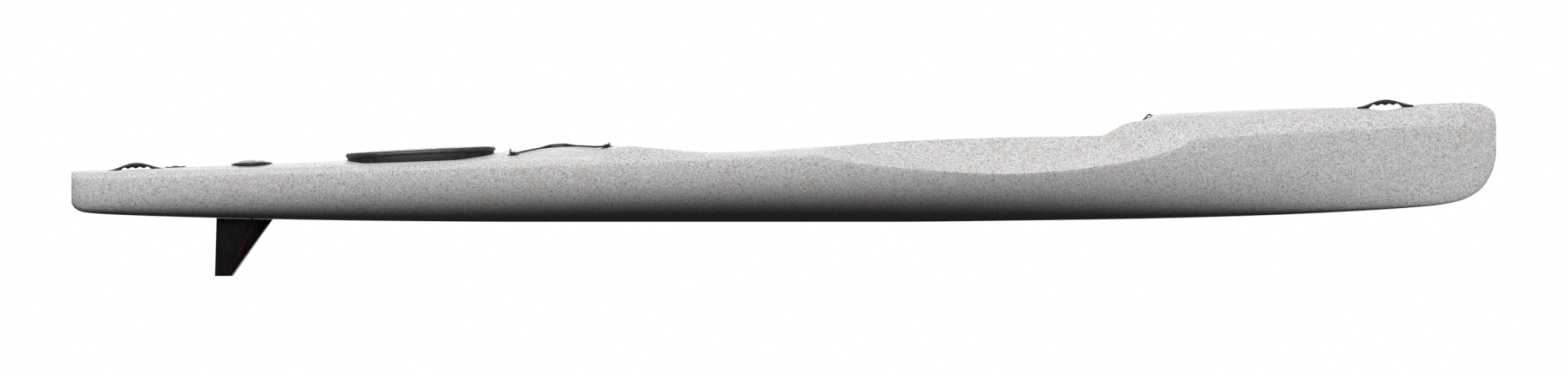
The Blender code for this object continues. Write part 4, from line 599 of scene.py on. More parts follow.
def cutBody(mesh, cutters, operation="DIFFERENCE"):
    # cutters are bmeshes; each is freed, and so is the mesh that is cut
    item = asObject(mesh, "cutting")
    tools = [asObject(cutter, "tool") for cutter in cutters]
    for tool in tools:
        boolean = item.modifiers.new("cut", "BOOLEAN")
        boolean.operation = operation
        boolean.solver = "EXACT"
        boolean.object = tool
    bpy.context.view_layer.update()
    done = bpy.data.meshes.new_from_object(item.evaluated_get(bpy.context.evaluated_depsgraph_get()))
    out = bmesh.new()
    out.from_mesh(done)
    bpy.data.meshes.remove(done)
    for old in [item] + tools:
        bpy.data.meshes.remove(old.data)  # takes its object along
    return out


# Hull: its lines along the length.
# Each point is a share of the length from the stern, then metres or a share.
hullForm = {
    "length": 4.27, "beam": 0.60, "wall": 0.005, "rimRound": 0.014, "creaseRound": 0.0018,
    "pocketDepth": 0.0045, "pocketAft": 0.0895, "pocketEdge": 0.0030,
    "sternPocketFore": 0.0790, "sternPocketEdge": 0.0120, "scoopDepth": 0.0080,
    "scoopLength": 0.112, "scoopPower": 0.50, "bottomSteps": 20, "sideSteps": 7,
    "upperSteps": [3, 4, 4, 4, 4, 3, 3], "wallShares": (0.05, 0.48, 0.88, 0.985, 1.0, 1.0),
    "hollowEnds": (0.012, 0.972), "innerStrides": (3, 2), "coarse": 0.0028,
    "finer": [(0.0, 0.004, 0.0004), (0.004, 0.02, 0.001), (0.023, 0.0256, 0.0004), (0.065, 0.0676, 0.0004),
              (0.9000, 0.9026, 0.0004), (0.9420, 0.9446, 0.0004), (0.385, 0.45, 0.0010),
              (0.505, 0.535, 0.0011),
              (0.715, 0.770, 0.0009), (0.775, 0.797, 0.0011), (0.975, 0.990, 0.0012), (0.990, 1.0, 0.0004)],
}
hullLines = {
    "keel": [
        (0.0, 0.058), (0.0012, 0.047), (0.0037, 0.037), (0.0086, 0.029), (0.022, 0.0235), (0.0715, 0.0155),
        (0.1455, 0.0078), (0.225, 0.0026), (0.317, 0.0), (0.5735, 0.0), (0.677, 0.0045), (0.757, 0.0100),
        (0.8426, 0.0205), (0.8976, 0.0315), (0.9526, 0.0475), (0.9648, 0.0545), (0.977, 0.0675),
        (0.9893, 0.099), (0.9966, 0.146), (0.9991, 0.180), (1.0, 0.210)],
    "deck": [
        (0.0, 0.146), (0.0012, 0.1505), (0.0134, 0.154), (0.0245, 0.155), (0.066, 0.1625), (0.1455, 0.175),
        (0.1883, 0.183), (0.2984, 0.2064), (0.3057, 0.2124), (0.3180, 0.2160), (0.3412, 0.2228),
        (0.3656, 0.2297), (0.3779, 0.2324), (0.402, 0.2245), (0.4512, 0.209), (0.5245, 0.2245),
        (0.5857, 0.2428), (0.659, 0.2535), (0.7228, 0.2585), (0.7325, 0.2783), (0.7392, 0.2927),
        (0.7526, 0.3063), (0.7624, 0.3225), (0.8059, 0.3316), (0.867, 0.3413), (0.9002, 0.3446),
        (0.9465, 0.3524), (0.9587, 0.3547), (0.977, 0.3577), (0.9893, 0.3525), (0.9966, 0.3368),
        (0.9991, 0.3212), (1.0, 0.287)],
    "chine": [
        (0.0, 0.1305), (0.0795, 0.1385), (0.2415, 0.1577), (0.4023, 0.1794), (0.521, 0.2005), (0.65, 0.226),
        (0.7912, 0.2507), (0.8713, 0.2695), (0.977, 0.288), (0.9966, 0.2765), (1.0, 0.258)],
    "paddleScoop": [
        (0.521, 0.0), (0.5245, 0.005), (0.5362, 0.016), (0.5582, 0.034), (0.5894, 0.054), (0.6206, 0.070),
        (0.661, 0.083), (0.6879, 0.0815), (0.7142, 0.0743), (0.7411, 0.0605), (0.7619, 0.0437),
        (0.7802, 0.0199), (0.7885, 0.005), (0.7912, 0.0)],
    "halfBeam": [
        (0.0, 0.10), (0.0012, 0.125), (0.0037, 0.155), (0.0086, 0.19), (0.022, 0.245), (0.0715, 0.345),
        (0.13, 0.455), (0.2, 0.58), (0.3, 0.745), (0.4, 0.90), (0.47, 0.985), (0.52, 1.0), (0.57, 0.985),
        (0.65, 0.875), (0.73, 0.70), (0.8, 0.52), (0.87, 0.335), (0.93, 0.19), (0.965, 0.11),
        (0.9893, 0.05), (1.0, 0.018)],
    "rim": [
        (0.0, 0.014), (0.0086, 0.026), (0.03, 0.032), (0.066, 0.037), (0.1, 0.062), (0.2, 0.10), (0.3, 0.135),
        (0.36, 0.168), (0.40, 0.198), (0.45, 0.215),
        (0.5, 0.211), (0.56, 0.191), (0.62, 0.171), (0.66, 0.158),
        (0.725, 0.148), (0.76, 0.122), (0.79, 0.096), (0.83, 0.072),
        (0.9, 0.040), (0.96, 0.018), (1.0, 0.0025)],
    "crown": [
        (0.0, 1.0), (0.285, 1.0), (0.310, 1.42), (0.366, 1.34), (0.384, 0.30), (0.396, 0.0), (0.7455, 0.0),
        (0.785, 1.0), (1.0, 1.0)],
    "bulge": [
        (0.0, 0.003), (0.3, 0.008), (0.45, 0.004), (0.521, 0.002), (0.57, -0.009), (0.68, -0.013),
        (0.75, -0.006), (0.80, 0.012), (0.9, 0.011), (1.0, 0.002)],
    "fullness": [
        (0.0, 2.5), (0.1, 2.25), (0.25, 2.15), (0.5, 2.3),
        (0.7, 2.1), (0.85, 2.08), (0.96, 2.25), (1.0, 2.0)],
    "keelFlat": [
        (0.0, 0.006), (0.1, 0.008), (0.317, 0.020), (0.5735, 0.020), (0.8, 0.010), (0.972, 0.0062),
        (1.0, 0.0015)],
    "cockpitFloor": [
        (0.3779, 0.2324), (0.390, 0.224), (0.3975, 0.203), (0.406, 0.155), (0.416, 0.106), (0.429, 0.067),
        (0.443, 0.054), (0.468, 0.054), (0.49, 0.068), (0.52, 0.096), (0.548, 0.106), (0.58, 0.090),
        (0.606, 0.060), (0.622, 0.048), (0.721, 0.048), (0.727, 0.062), (0.732, 0.115), (0.737, 0.195),
        (0.742, 0.268), (0.7455, 0.2985)],
    "cockpitLean": [(0.36, 0.05), (0.45, 0.052), (0.52, 0.034), (0.60, 0.020), (0.73, 0.016), (0.78, 0.02)],
}
stations = {
    "sternHandle": 0.0453, "drain": 0.0729, "rudder": 0.1266, "hatch": 0.2452, "bungeeAft": 0.310,
    "bungeeFore": 0.3758, "leashEye": 0.7557, "bowHandle": 0.9223, "bailer": 0.6095, "fairlead": 0.5985,
    "board": 0.6765, "trackAft": 0.6260, "trackFore": 0.7180,
}


def slopeBetween(a, b):
    return (b[1] - a[1]) / (b[0] - a[0])


def lineSlope(points, k):
    if k == 0:
        return slopeBetween(points[0], points[1])
    before = slopeBetween(points[k - 1], points[k])
    if k == len(points) - 1:
        return before
    after = slopeBetween(points[k], points[k + 1])
    return 0.0 if before * after <= 0 else 2 * before * after / (before + after)


def lineAt(name, share):
    points = hullLines[name]
    if share <= points[0][0]:
        return points[0][1]
    if share >= points[-1][0]:
        return points[-1][1]
    k = max(i for i in range(len(points) - 1) if points[i][0] <= share)
    (x0, y0), (x1, y1) = points[k], points[k + 1]
    width = x1 - x0
    t = (share - x0) / width
    low, high = lineSlope(points, k) * width, lineSlope(points, k + 1) * width
    return ((2 * t ** 3 - 3 * t ** 2 + 1) * y0 + (t ** 3 - 2 * t ** 2 + t) * low
            + (3 * t ** 2 - 2 * t ** 3) * y1 + (t ** 3 - t ** 2) * high)


def stationX(share):
    return (share - 0.5) * hullForm["length"]


def hump(share, centre, length):
    away = abs(share - centre) * hullForm["length"] / (length / 2)
    return 0.5 + 0.5 * math.cos(math.pi * min(away, 1.0))


def handPocket(share, centre, foreEnd, foreEdge):
    # a shallow pocket for the whole handle, and a scoop for the fingers
    h = hullForm
    ahead = (share - centre) * h["length"]
    ledge = min((h["pocketAft"] + ahead) / h["pocketEdge"], (foreEnd - ahead) / foreEdge) + 0.5
    scoop = hump(share, centre, h["scoopLength"]) ** h["scoopPower"]
    return h["pocketDepth"] * eased(ledge) + h["scoopDepth"] * scoop


def recessDepth(share, deckZ):
    floor = hullLines["cockpitFloor"]
    if floor[0][0] < share < floor[-1][0]:
        return max(deckZ - lineAt("cockpitFloor", share), 0.0)
    return handPocket(share, stations["sternHandle"],
        hullForm["sternPocketFore"], hullForm["sternPocketEdge"])


def bottomHalf(share):
    # from the keel out to the crease; the paddle scoop brings the crease down
    chineY = lineAt("halfBeam", share) * hullForm["beam"] / 2
    chineZ, keelZ = lineAt("chine", share), lineAt("keel", share)
    keelY = min(lineAt("keelFlat", share), 0.5 * chineY)
    power = 2 / lineAt("fullness", share)
    scoop = lineAt("paddleScoop", share) / (chineZ - keelZ)
    crease = math.acos(scoop ** (1 / power)) if scoop > 0 else math.pi / 2
    half = [Vector((keelY * k / 2, keelZ)) for k in range(2)]
    for step in range(hullForm["bottomSteps"] + 1):
        angle = crease * step / hullForm["bottomSteps"]
        y = keelY + (chineY - keelY) * math.sin(angle) ** power
        half.append(Vector((y, chineZ - (chineZ - keelZ) * max(math.cos(angle), 0.0) ** power)))
    return half


def fineSection(share):
    # half a cross section as (y, z), from the keel round the side to the middle of the deck
    half = bottomHalf(share)
    corner = half.pop()
    deckZ = lineAt("deck", share)
    deckZ -= handPocket(share, stations["bowHandle"], hullForm["pocketAft"], hullForm["pocketEdge"])
    rimY = min(lineAt("rim", share), 0.8 * corner.x)
    rimZ = deckZ - lineAt("crown", share) * (deckZ - corner.y) * (rimY / corner.x) ** 2
    middle = Vector(((corner.x + rimY) / 2, (corner.y + rimZ) / 2 + lineAt("bulge", share)))
    roundY = min(hullForm["rimRound"], 0.3 * rimY, 0.4 * (middle.x - rimY))
    edge = Vector((rimY + roundY, rimZ + 0.7 * (middle.y - rimZ) * roundY / (middle.x - rimY)))
    side = []
    for step in range(1, hullForm["sideSteps"] + 1):
        t = step / hullForm["sideSteps"]
        side.append(corner * (1 - t) * (1 - 2 * t) + middle * 4 * t * (1 - t) + edge * t * (2 * t - 1))
    low, high = [way.normalized() * min(hullForm["creaseRound"], 0.45 * way.length)
                 for way in (half[-1] - corner, side[0] - corner)]
    half += [corner + low, corner + (low + high) / 4, corner + high] + side[:-1]
    innerY = rimY - roundY
    lean = min(lineAt("cockpitLean", share), 0.4 * innerY)
    footY = innerY - lean
    across = (innerY, innerY - 0.3 * lean, footY, 0.8 * footY, 0.42 * footY, 0.0)
    depth = recessDepth(share, deckZ)
    knots = [side[-2], edge, Vector((rimY, rimZ))]
    for y, wallShare in zip(across, hullForm["wallShares"]):
        crownZ = rimZ + (deckZ - rimZ) * (1 - (y / rimY) ** 2)
        knots.append(Vector((y, crownZ - wallShare * depth)))
    knots.append(Vector((-knots[-2].x, knots[-2].y)))
    return half + smoothThrough(knots, [1] + hullForm["upperSteps"] + [1])[1:-1]


def stationShares():
    shares = [0.0]
    marks = [mark for span in hullForm["finer"] for mark in span[:2]] + [1.0]
    while shares[-1] < 1.0 - 0.00001:
        step = hullForm["coarse"]
        for low, high, fine in hullForm["finer"]:
            if low - 0.000001 <= shares[-1] < high - 0.000001:
                step = fine
        ahead = min(mark for mark in marks if mark > shares[-1] + 0.00005)
        shares.append(min(shares[-1] + step, ahead))
    return shares


def strided(count, stride):
    return list(range(0, count - 1, stride)) + [count - 1]


def hullSheet(strideAlong, strideAcross):
    along, across = strided(len(rings), strideAlong), strided(len(rings[0]), strideAcross)

    def place(i, j):
        spot = rings[along[j]][across[i]]
        return Vector((stationX(shares[along[j]]), spot.x, spot.y))

    mesh = gridBody(len(across) - 1, len(along) - 1, place)
    bmesh.ops.mirror(mesh, geom=wholeOf(mesh), matrix=Matrix(), merge_dist=seamWeld, axis="Y")
    bmesh.ops.remove_doubles(mesh, verts=mesh.verts, dist=seamWeld)
    closeHoles(mesh)
    faceOut(mesh)
    return mesh


shares = stationShares()
rings = [fineSection(share) for share in shares]
skin = hullSheet(1, 1)
skinTree = BVHTree.FromBMesh(skin)
print("hull skin:", len(skin.faces), "faces")


def deckSpot(x, y=0.0):
    return skinTree.ray_cast(Vector((x, y, 1.0)), Vector((0, 0, -1)))


def deckHeight(x, y=0.0):
    return deckSpot(x, y)[0].z


def keelHeight(x):
    return skinTree.ray_cast(Vector((x, 0, -1.0)), Vector((0, 0, 1)))[0].z


def deckFrame(share, span):
    x = stationX(share)
    aft, fore = deckHeight(x - span / 2), deckHeight(x + span / 2)
    height = max((aft + fore) / 2, deckHeight(x))
    return Matrix.Translation((x, 0, height)) @ Matrix.Rotation(-math.atan2(fore - aft, span), 4, "Y")


def onDeck(place, spot, sink=0.0012):
    # a point of a fitting's own frame, dropped along that frame's Z to just under the deck
    down = -place.col[2].to_3d()
    hit = skinTree.ray_cast(place @ Vector((*spot, 0.12)), down)[0]
    return hit + down * sink


# Deck fittings whose sizes the holes need
hatch = {
    "length": 0.449, "width": 0.270, "power": 2.6, "band": 0.026, "rimHeight": 0.017, "rimInset": 0.0045,
    "coverThickness": 0.0045, "lipDepth": 0.014, "crown": 0.004, "wall": 0.0037, "sides": 128, "gap": 0.0003,
}
port = {
    "ringRadius": 0.062, "opening": 0.046, "ringHeight": 0.0035, "lip": 0.0007, "capRadius": 0.055,
    "capHeight": 0.0138, "edge": 0.0025, "plugDepth": 0.012, "plugGap": 0.0006, "wall": 0.003, "sides": 120,
    "recessOffset": 0.026, "recessHalf": (0.0088, 0.0178), "recessDepth": 0.0070, "spine": 0.0042,
    "gap": 0.0003, "gripNotches": 40, "gripDepth": 0.0005, "domeSteps": 24, "domePower": 2.5,
}
drain = {
    "length": 0.064, "width": 0.030, "power": 2.3, "thickness": 0.0024, "bore": 0.007, "knobRadius": 0.0112,
    "knobHeight": 0.0018, "grip": 0.0044, "plugDepth": 0.010, "gap": 0.0003, "sides": 64,
}
bailer = {"length": 0.070, "width": 0.038, "gap": 0.0004}
rudderTube = {"radius": 0.0104}
hatchFrame = deckFrame(stations["hatch"], hatch["length"])
portFrame = deckFrame(stations["rudder"], 2 * port["ringRadius"])
drainFrame = deckFrame(stations["drain"], drain["length"])


def roundTool(radius, low, high, matrix, sides):
    mesh = bmesh.new()
    bmesh.ops.create_cone(
        mesh, cap_ends=True, segments=sides, radius1=radius, radius2=radius, depth=high - low,
        matrix=matrix @ Matrix.Translation((0, 0, (low + high) / 2)))
    return mesh


def hullHoles():
    # holes through both skins; the two heights of each say how far its cutter reaches
    inner = 2 * hatch["band"]
    length, width = hatch["length"] - inner, hatch["width"] - inner
    outline = [ovalPoint(k / 96, length, width, hatch["power"]) for k in range(96)]
    atRudder = Matrix.Translation((stationX(stations["rudder"]), 0, 0))
    x = stationX(stations["bailer"])
    halfX, halfY = [bailer[side] / 2 + bailer["gap"] for side in ("length", "width")]
    return [plateBody(outline, 0.09, hatchFrame), roundTool(port["opening"], -0.05, 0.02, portFrame, 64),
            roundTool(drain["bore"], -0.03, 0.02, drainFrame, 24),
            roundTool(rudderTube["radius"], -0.02, 0.04, atRudder, 32),
            boxBody((x - halfX, -halfY, -0.03), (x + halfX, halfY, 0.10))]


def makeHull(outer):
    inner = hullSheet(*hullForm["innerStrides"])
    bmesh.ops.smooth_vert(inner, verts=inner.verts,
        factor=0.3, use_axis_x=False, use_axis_y=True, use_axis_z=True)
    inner.normal_update()
    moves = [vert.normal * min(vert.calc_shell_factor(), 1.2) * hullForm["wall"] for vert in inner.verts]
    for vert, move in zip(inner.verts, moves):
        vert.co -= move
    for share, side in zip(hullForm["hollowEnds"], (-1, 1)):
        planeCut(inner, (stationX(share), 0, 0), (side, 0, 0))
    faceOut(inner)
    bmesh.ops.reverse_faces(inner, faces=inner.faces)
    whole = cutBody(joined(outer, inner), hullHoles())
    return addPiece("hullShell", whole, "hull_polyethylene", "boat", ["hull"], 40.0)


makeHull(skin)
print("hull shell made")


# Screws: a pan head with a cross recess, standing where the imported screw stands
screwForm = {"sides": 20, "headHeight": 0.52, "crossWidth": 0.24, "crossReach": 0.62, "crossDepth": 0.62}
screwSinks = {"leash_eye": 0.0024}


def farEnds(spots):
    low = max(spots, key=lambda spot: (spot - spots[0]).length)
    high = max(spots, key=lambda spot: (spot - low).length)
    return low, high


def widthNear(spots, end, axis):
    offs = [spot - end for spot in spots if abs((spot - end).dot(axis)) < 0.003]
    return max((off - axis * off.dot(axis)).length for off in offs)


def screwBody(head, shank, length, place):
    height = screwForm["headHeight"] * head
    mesh = spunBody([
        (0.0, 0.0), (0.45 * head, -0.04 * height), (0.78 * head, -0.22 * height),
        (0.96 * head, -0.58 * height),
        (head, -0.88 * height), (0.97 * head, -height), (shank, -height), (shank, -length + 1.6 * shank),
        (0.0, -length)], screwForm["sides"])
    wide, reach = screwForm["crossWidth"] * head / 2, screwForm["crossReach"] * head
    deep = screwForm["crossDepth"] * height
    slots = [boxBody((-x, -y, -deep), (x, y, height)) for x, y in ((reach, wide), (wide, reach))]
    mesh = cutBody(mesh, slots)
    mesh.transform(place)
    return mesh


def makeScrew(node, top=None):
    spots = [vert.co.copy() for vert in nodes[node].data.vertices]
    low, high = farEnds(spots)
    axis = (high - low).normalized()
    if widthNear(spots, low, axis) > widthNear(spots, high, axis):
        low, high, axis = high, low, -axis
    head, shank = widthNear(spots, high, axis), widthNear(spots, low, axis)
    sink = screwSinks.get(node.rsplit("_screw_", 1)[0], 0.0)
    mesh = screwBody(head, shank, (high - low).length, standing(top or high - axis * sink, axis))
    return addPiece(plainName(node), mesh, "stainless", "boat", [node])


withFittings = ("bungee", "bow_", "stern_")
screwNodes = [node for node in sorted(nodes) if "_screw_" in node and not node.startswith(withFittings)]
for node in screwNodes:
    makeScrew(node)
print("screws made:", len(screwNodes))


# Carry handles
handle = {
    "length": 0.170, "width": 0.024, "rise": 0.0236, "archPower": 0.90, "footLength": 0.030,
    "footThickness": 0.0046, "tipThickness": 0.0034, "tipLength": 0.005, "tipPower": 1.5, "pitch": 0.0232,
    "fingers": 4, "openHalf": 0.0560, "ridge": 0.0050, "groove": 0.0090, "arch": 0.0012, "squareness": 3.0,
    "gripNarrow": 0.12, "taperFrom": 0.80, "taper": 8, "recess": 0.0054, "headRecess": 0.0022,
    "headHeight": 0.0018, "along": 170, "around": 32, "sink": 0.0015,
}


def handleTop(x):
    h = handle
    swell = (0.5 + 0.5 * math.cos(2 * math.pi * x / h["length"])) ** h["archPower"]
    tip = max(0.0, (abs(x) - h["length"] / 2 + h["tipLength"]) / h["tipLength"])
    foot = h["footThickness"] + (h["tipThickness"] - h["footThickness"]) * tip ** h["tipPower"]
    return foot + (h["rise"] - h["footThickness"]) * swell


def handleUnderside(x):
    # finger grooves between the feet, and how far the underside has come down to its foot
    h = handle
    grip = h["pitch"] * h["fingers"] / 2
    outer = grip - h["pitch"] / 2
    wave = 0.5 - 0.5 * math.cos(2 * math.pi * (min(abs(x), outer) + grip) / h["pitch"])
    low = h["ridge"] + h["arch"] * math.cos(math.pi * x / h["length"]) + (h["groove"] - h["ridge"]) * wave
    return low, eased((abs(x) - outer) / (h["openHalf"] - outer))


def carryHandle(name, station, node):
    h = handle
    place = deckFrame(station, h["length"] - h["footLength"])
    half = h["length"] / 2

    def spotAt(i, j):
        x = -half + h["length"] * j / h["along"]
        angle = 2 * math.pi * (i % h["around"] + 0.5) / h["around"]
        width = h["width"] / 2 * (1 - h["gripNarrow"] * (0.5 + 0.5 * math.cos(math.pi * x / half)))
        width *= (1 - max(0.0, abs(x) / half - h["taperFrom"]) ** 2 * h["taper"])
        y = width * signedPower(math.cos(angle), 2 / h["squareness"])
        share = 0.5 + 0.5 * signedPower(math.sin(angle), 2 / h["squareness"])
        top, (low, fall) = handleTop(x), handleUnderside(x)
        if fall > 0:
            low += ((place.inverted() @ onDeck(place, (x, y), h["sink"])).z - low) * fall
            low = min(low, top - h["tipThickness"] / 2)
        return place @ Vector((x, y, low + (top - low) * share))

    mesh = gridBody(h["around"], h["along"], spotAt, closeEnds=True)
    tools = []
    for side, end in ((-1, "_screw_aft"), (1, "_screw_fore")):
        x = side * (h["length"] - h["footLength"]) / 2
        spot = place @ Matrix.Translation((x, 0, handleTop(x) - h["headRecess"]))
        tools.append(roundTool(h["recess"], 0, 0.02, spot, 28))
        makeScrew(node + end, spot @ Vector((0, 0, h["headHeight"])))
    return addPiece(name, cutBody(mesh, tools), "black_fitting", "boat", [node], 42.0)


carryHandle("sternCarryHandle", stations["sternHandle"], "stern_handle")
carryHandle("bowCarryHandle", stations["bowHandle"], "bow_handle")
print("carry handles made")


# Rear hatch
def hatchRim():
    h, inner, outer = hatch["rimHeight"], hatch["band"], hatch["rimInset"]
    steps = [
        (outer, None), (outer, h - 0.0012), (outer + 0.0004, h - 0.0004), (outer + 0.0014, h),
        (inner - 0.0014, h), (inner - 0.0004, h - 0.0004), (inner, h - 0.0014), (inner, -0.009),
        (inner - 0.004, -0.009), (inner - 0.004, None), (outer, None)]
    levels = ovalLevels(hatch, [(inset, 1.0, height) for inset, height in steps])
    mesh = stackedBody(levels, hatch["sides"], hatchFrame)
    return addPiece("hatchRim", mesh, "black_fitting", "boat", ["rear_hatch_rim"])


def hatchCover():
    under = hatch["rimHeight"] + hatch["gap"] + 0.0002
    top = hatch["rimHeight"] + hatch["gap"] + hatch["coverThickness"]
    low, wall = top - hatch["lipDepth"], hatch["wall"]
    inside = [(0.0, 0.0, under)] + [(wall, share, under) for share in (0.45, 0.80, 0.97)]
    lip = [
        (wall, under - 0.0008), (wall, low + 0.0006), (wall - 0.0003, low),
        (0.0030, low), (0.0020, low + 0.0006),
        (0.0011, low + 0.0016), (0.0004, low + 0.0030), (0.0, low + 0.0048), (-0.0003, low + 0.0064),
        (0.0004, low + 0.0079), (0.0011, low + 0.0092), (0.0021, top - 0.0031), (0.0034, top - 0.0016),
        (0.0049, top - 0.0005), (0.0064, top), (0.0080, top - 0.0003), (0.0090, top - 0.0012),
        (0.0100, top - 0.0016), (0.0118, top - 0.0016), (0.0132, top - 0.0010), (0.0150, top + 0.0001)]
    crown = [(0.80, 0.30), (0.70, 0.48), (0.60, 0.62), (0.595, 0.42), (0.575, 0.42), (0.57, 0.66),
             (0.45, 0.80), (0.30, 0.91), (0.15, 0.98), (0.0, 1.0)]
    steps = inside + [(inset, 1.0, height) for inset, height in lip]
    steps += [(0.0, share, top + hatch["crown"] * lift) for share, lift in crown]
    mesh = stackedBody(ovalLevels(hatch, steps), hatch["sides"], hatchFrame)
    return addPiece("hatchCover", mesh, "black_rubber", "hatch_lid", ["rear_hatch_cover"], 50.0)


hatchRim()
hatchCover()
print("rear hatch made")


# Rudder port
def portRing():
    r, inner, h = port["ringRadius"], port["opening"], port["ringHeight"]
    lip, edge = h + port["lip"], port["capRadius"]
    levels = roundLevels([
        (r, None), (r, h - 0.0020), (r - 0.0003, h - 0.0008), (r - 0.0012, h), (r - 0.0026, lip),
        (edge + 0.0011, lip), (edge + 0.0008, lip - 0.0003), (edge + 0.0007, h), (inner + 0.0010, h),
        (inner + 0.0003, h - 0.0004), (inner, h - 0.0012), (inner, -0.010), (inner + 0.003, -0.010),
        (inner + 0.003, None), (r, None)])
    mesh = stackedBody(levels, port["sides"], portFrame)
    return addPiece("portRing", mesh, "black_fitting", "boat", ["rudder_port_ring"])


def capDip(x, y):
    # two finger recesses with a spine between, and a low welt round each
    halfX, halfY = port["recessHalf"]
    lift = 0.0
    for side in (-1, 1):
        away = math.hypot((x - side * port["recessOffset"]) / halfX, y / halfY)
        dip = (0.5 + 0.5 * math.cos(math.pi * min(away, 1.0))) ** 0.6
        lift -= port["recessDepth"] * dip * (1 - math.exp(-(y / port["spine"]) ** 2))
        lift += 0.0004 * math.exp(-((away - 1.12) / 0.12) ** 2)
    return lift


def portCap():
    base, plug, deep = port["ringHeight"] + port["gap"], port["opening"] - port["plugGap"], -port["plugDepth"]
    r, top, rimTop = port["capRadius"], port["capHeight"], base + port["edge"]
    innerGroove, outerGroove, grooveTop = port["opening"] + 0.0010, port["opening"] + 0.0048, base + 0.0032
    levels = [
        (0.0, base + 0.002), (plug - port["wall"], base + 0.002), (plug - port["wall"], deep),
        (plug - 0.0004, deep),
        (plug, deep + 0.0006), (plug, base), (innerGroove, base), (innerGroove, grooveTop),
        (outerGroove, grooveTop),
        (outerGroove, base), (r - 0.0004, base), (r, base + 0.0005), (r, rimTop - 0.0012),
        (r - 0.0003, rimTop - 0.0003)]
    gripFrom, domeFrom = levels.index((r, base + 0.0005)), len(levels)
    for step in range(1, port["domeSteps"] + 1):
        share = 1 - step / port["domeSteps"]
        levels.append(((r - 0.0006) * share, top - (top - rimTop) * share ** port["domePower"]))

    def spotAt(i, j):
        radius, height = levels[j]
        angle = 2 * math.pi * (i % port["sides"]) / port["sides"]
        if gripFrom <= j <= domeFrom:
            radius -= port["gripDepth"] * (0.5 - 0.5 * math.cos(port["gripNotches"] * angle))
        x, y = radius * math.cos(angle), radius * math.sin(angle)
        return portFrame @ Vector((x, y, height + (capDip(x, y) if j > domeFrom else 0.0)))

    mesh = gridBody(port["sides"], len(levels) - 1, spotAt)
    return addPiece("portCap", mesh, "black_fitting", "port_lid", ["rudder_port_cap"], 45.0, satinNylon)


portRing()
portCap()
print("rudder port made")


# Drain fitting
def drainSocket():
    t, bore = drain["thickness"], drain["bore"]
    outer = ovalLevels(drain, [
        (0.0, 1.0, None), (0.0, 1.0, 0.5 * t), (0.0008, 1.0, 0.85 * t), (0.0022, 1.0, t), (0.0060, 1.0, t)])
    hole = roundLevels([(bore + 0.0008, t), (bore, 0.8 * t), (bore, -0.006)])
    under = ovalLevels(drain, [(0.004, 1.0, None), (0.0, 1.0, None)])
    mesh = stackedBody(outer + hole + under, drain["sides"], drainFrame)
    return addPiece("drainSocket", mesh, "black_fitting", "boat", ["drain_socket"])


def drainKnob():
    base, tall, r = drain["thickness"] + drain["gap"], drain["knobHeight"], drain["knobRadius"]
    stem = drain["bore"] - 0.0006
    mesh = spunBody([
        (0.0, base + 0.45 * tall), (0.86 * r, base + 0.45 * tall), (0.96 * r, base + 0.38 * tall),
        (r, base + 0.26 * tall), (r, base + 0.0004), (r - 0.0004, base), (stem, base), (stem, -0.0078),
        (0.85 * stem, -drain["plugDepth"]), (0.0, -drain["plugDepth"])], 48)
    half = drain["grip"] / 2
    bar = boxBody((-0.92 * r, -half, base + 0.3 * tall), (0.92 * r, half, base + tall), 0.0012, 3)
    mesh = cutBody(mesh, [bar], "UNION")
    mesh.transform(drainFrame)
    return addPiece("drainKnob", mesh, "black_fitting", "drain_stopper", ["drain_plug"])


drainSocket()
drainKnob()
print("drain made")


# Deck bungee and its posts
bungee = {
    "radius": 0.0026, "spreadAft": 0.100, "spreadFore": 0.110, "postRadius": 0.0048, "postHeight": 0.0080,
    "baseRadius": 0.0130, "baseHeight": 0.0024, "baseLength": 0.036, "baseWidth": 0.018, "basePower": 1.75,
    "capRadius": 0.0080, "capHeight": 0.0020, "screwHead": 0.0026, "screwShank": 0.0014, "screwReach": 0.008,
    "gap": 0.0003, "arcSteps": 12, "runSteps": 40,
    "around": 14, "postSides": 48, "seat": 0.0006, "rest": 0.005,
    "crossing": 0.476, "liftHalf": 0.20, "liftRun": 0.12, "evenings": 3,
}
aftX, foreX = stationX(stations["bungeeAft"]), stationX(stations["bungeeFore"])
bungeePosts = {
    "aft_starboard": (aftX, -bungee["spreadAft"]), "fore_port": (foreX, bungee["spreadFore"]),
    "fore_starboard": (foreX, -bungee["spreadFore"]), "aft_port": (aftX, bungee["spreadAft"]),
}
postTurns = (1, -1, -1, 1)


def postFrame(x, y):
    return standing(*deckSpot(x, y)[:2])


def postArc(before, post, after, side):
    turn = bungee["postRadius"] + bungee["radius"] + 2 * bungee["gap"]
    headingIn = math.atan2(post[1] - before[1], post[0] - before[0])
    headingOut = math.atan2(after[1] - post[1], after[0] - post[0])
    sweep = (side * (headingOut - headingIn)) % (2 * math.pi)
    start = headingIn - side * math.pi / 2
    angles = [start + side * sweep * step / bungee["arcSteps"] for step in range(bungee["arcSteps"] + 1)]
    return [(post[0] + turn * math.cos(angle), post[1] + turn * math.sin(angle)) for angle in angles]


def bungeePoint(x, y, over):
    px, py = min(bungeePosts.values(), key=lambda post: math.hypot(x - post[0], y - post[1]))
    away = max(math.hypot(x - px, y - py) - bungee["baseRadius"], 0.0) / bungee["baseRadius"]
    near = max(1 - away, 0.0)
    place = postFrame(px, py)
    origin, normal = place.translation, place.col[2]
    plane = origin.z - (normal.x * (x - px) + normal.y * (y - py)) / normal.z
    atPost = plane + bungee["baseHeight"] + bungee["radius"] + 2 * bungee["gap"]
    around = [(x, y)]
    for side in (-bungee["rest"], bungee["rest"]):
        around += [(x - side, y - side), (x - side, y + side)]
    onTop = max(deckHeight(*spot) for spot in around) + bungee["radius"] + bungee["seat"] + over
    return Vector((x, y, near * atPost + (1 - near) * onTop))


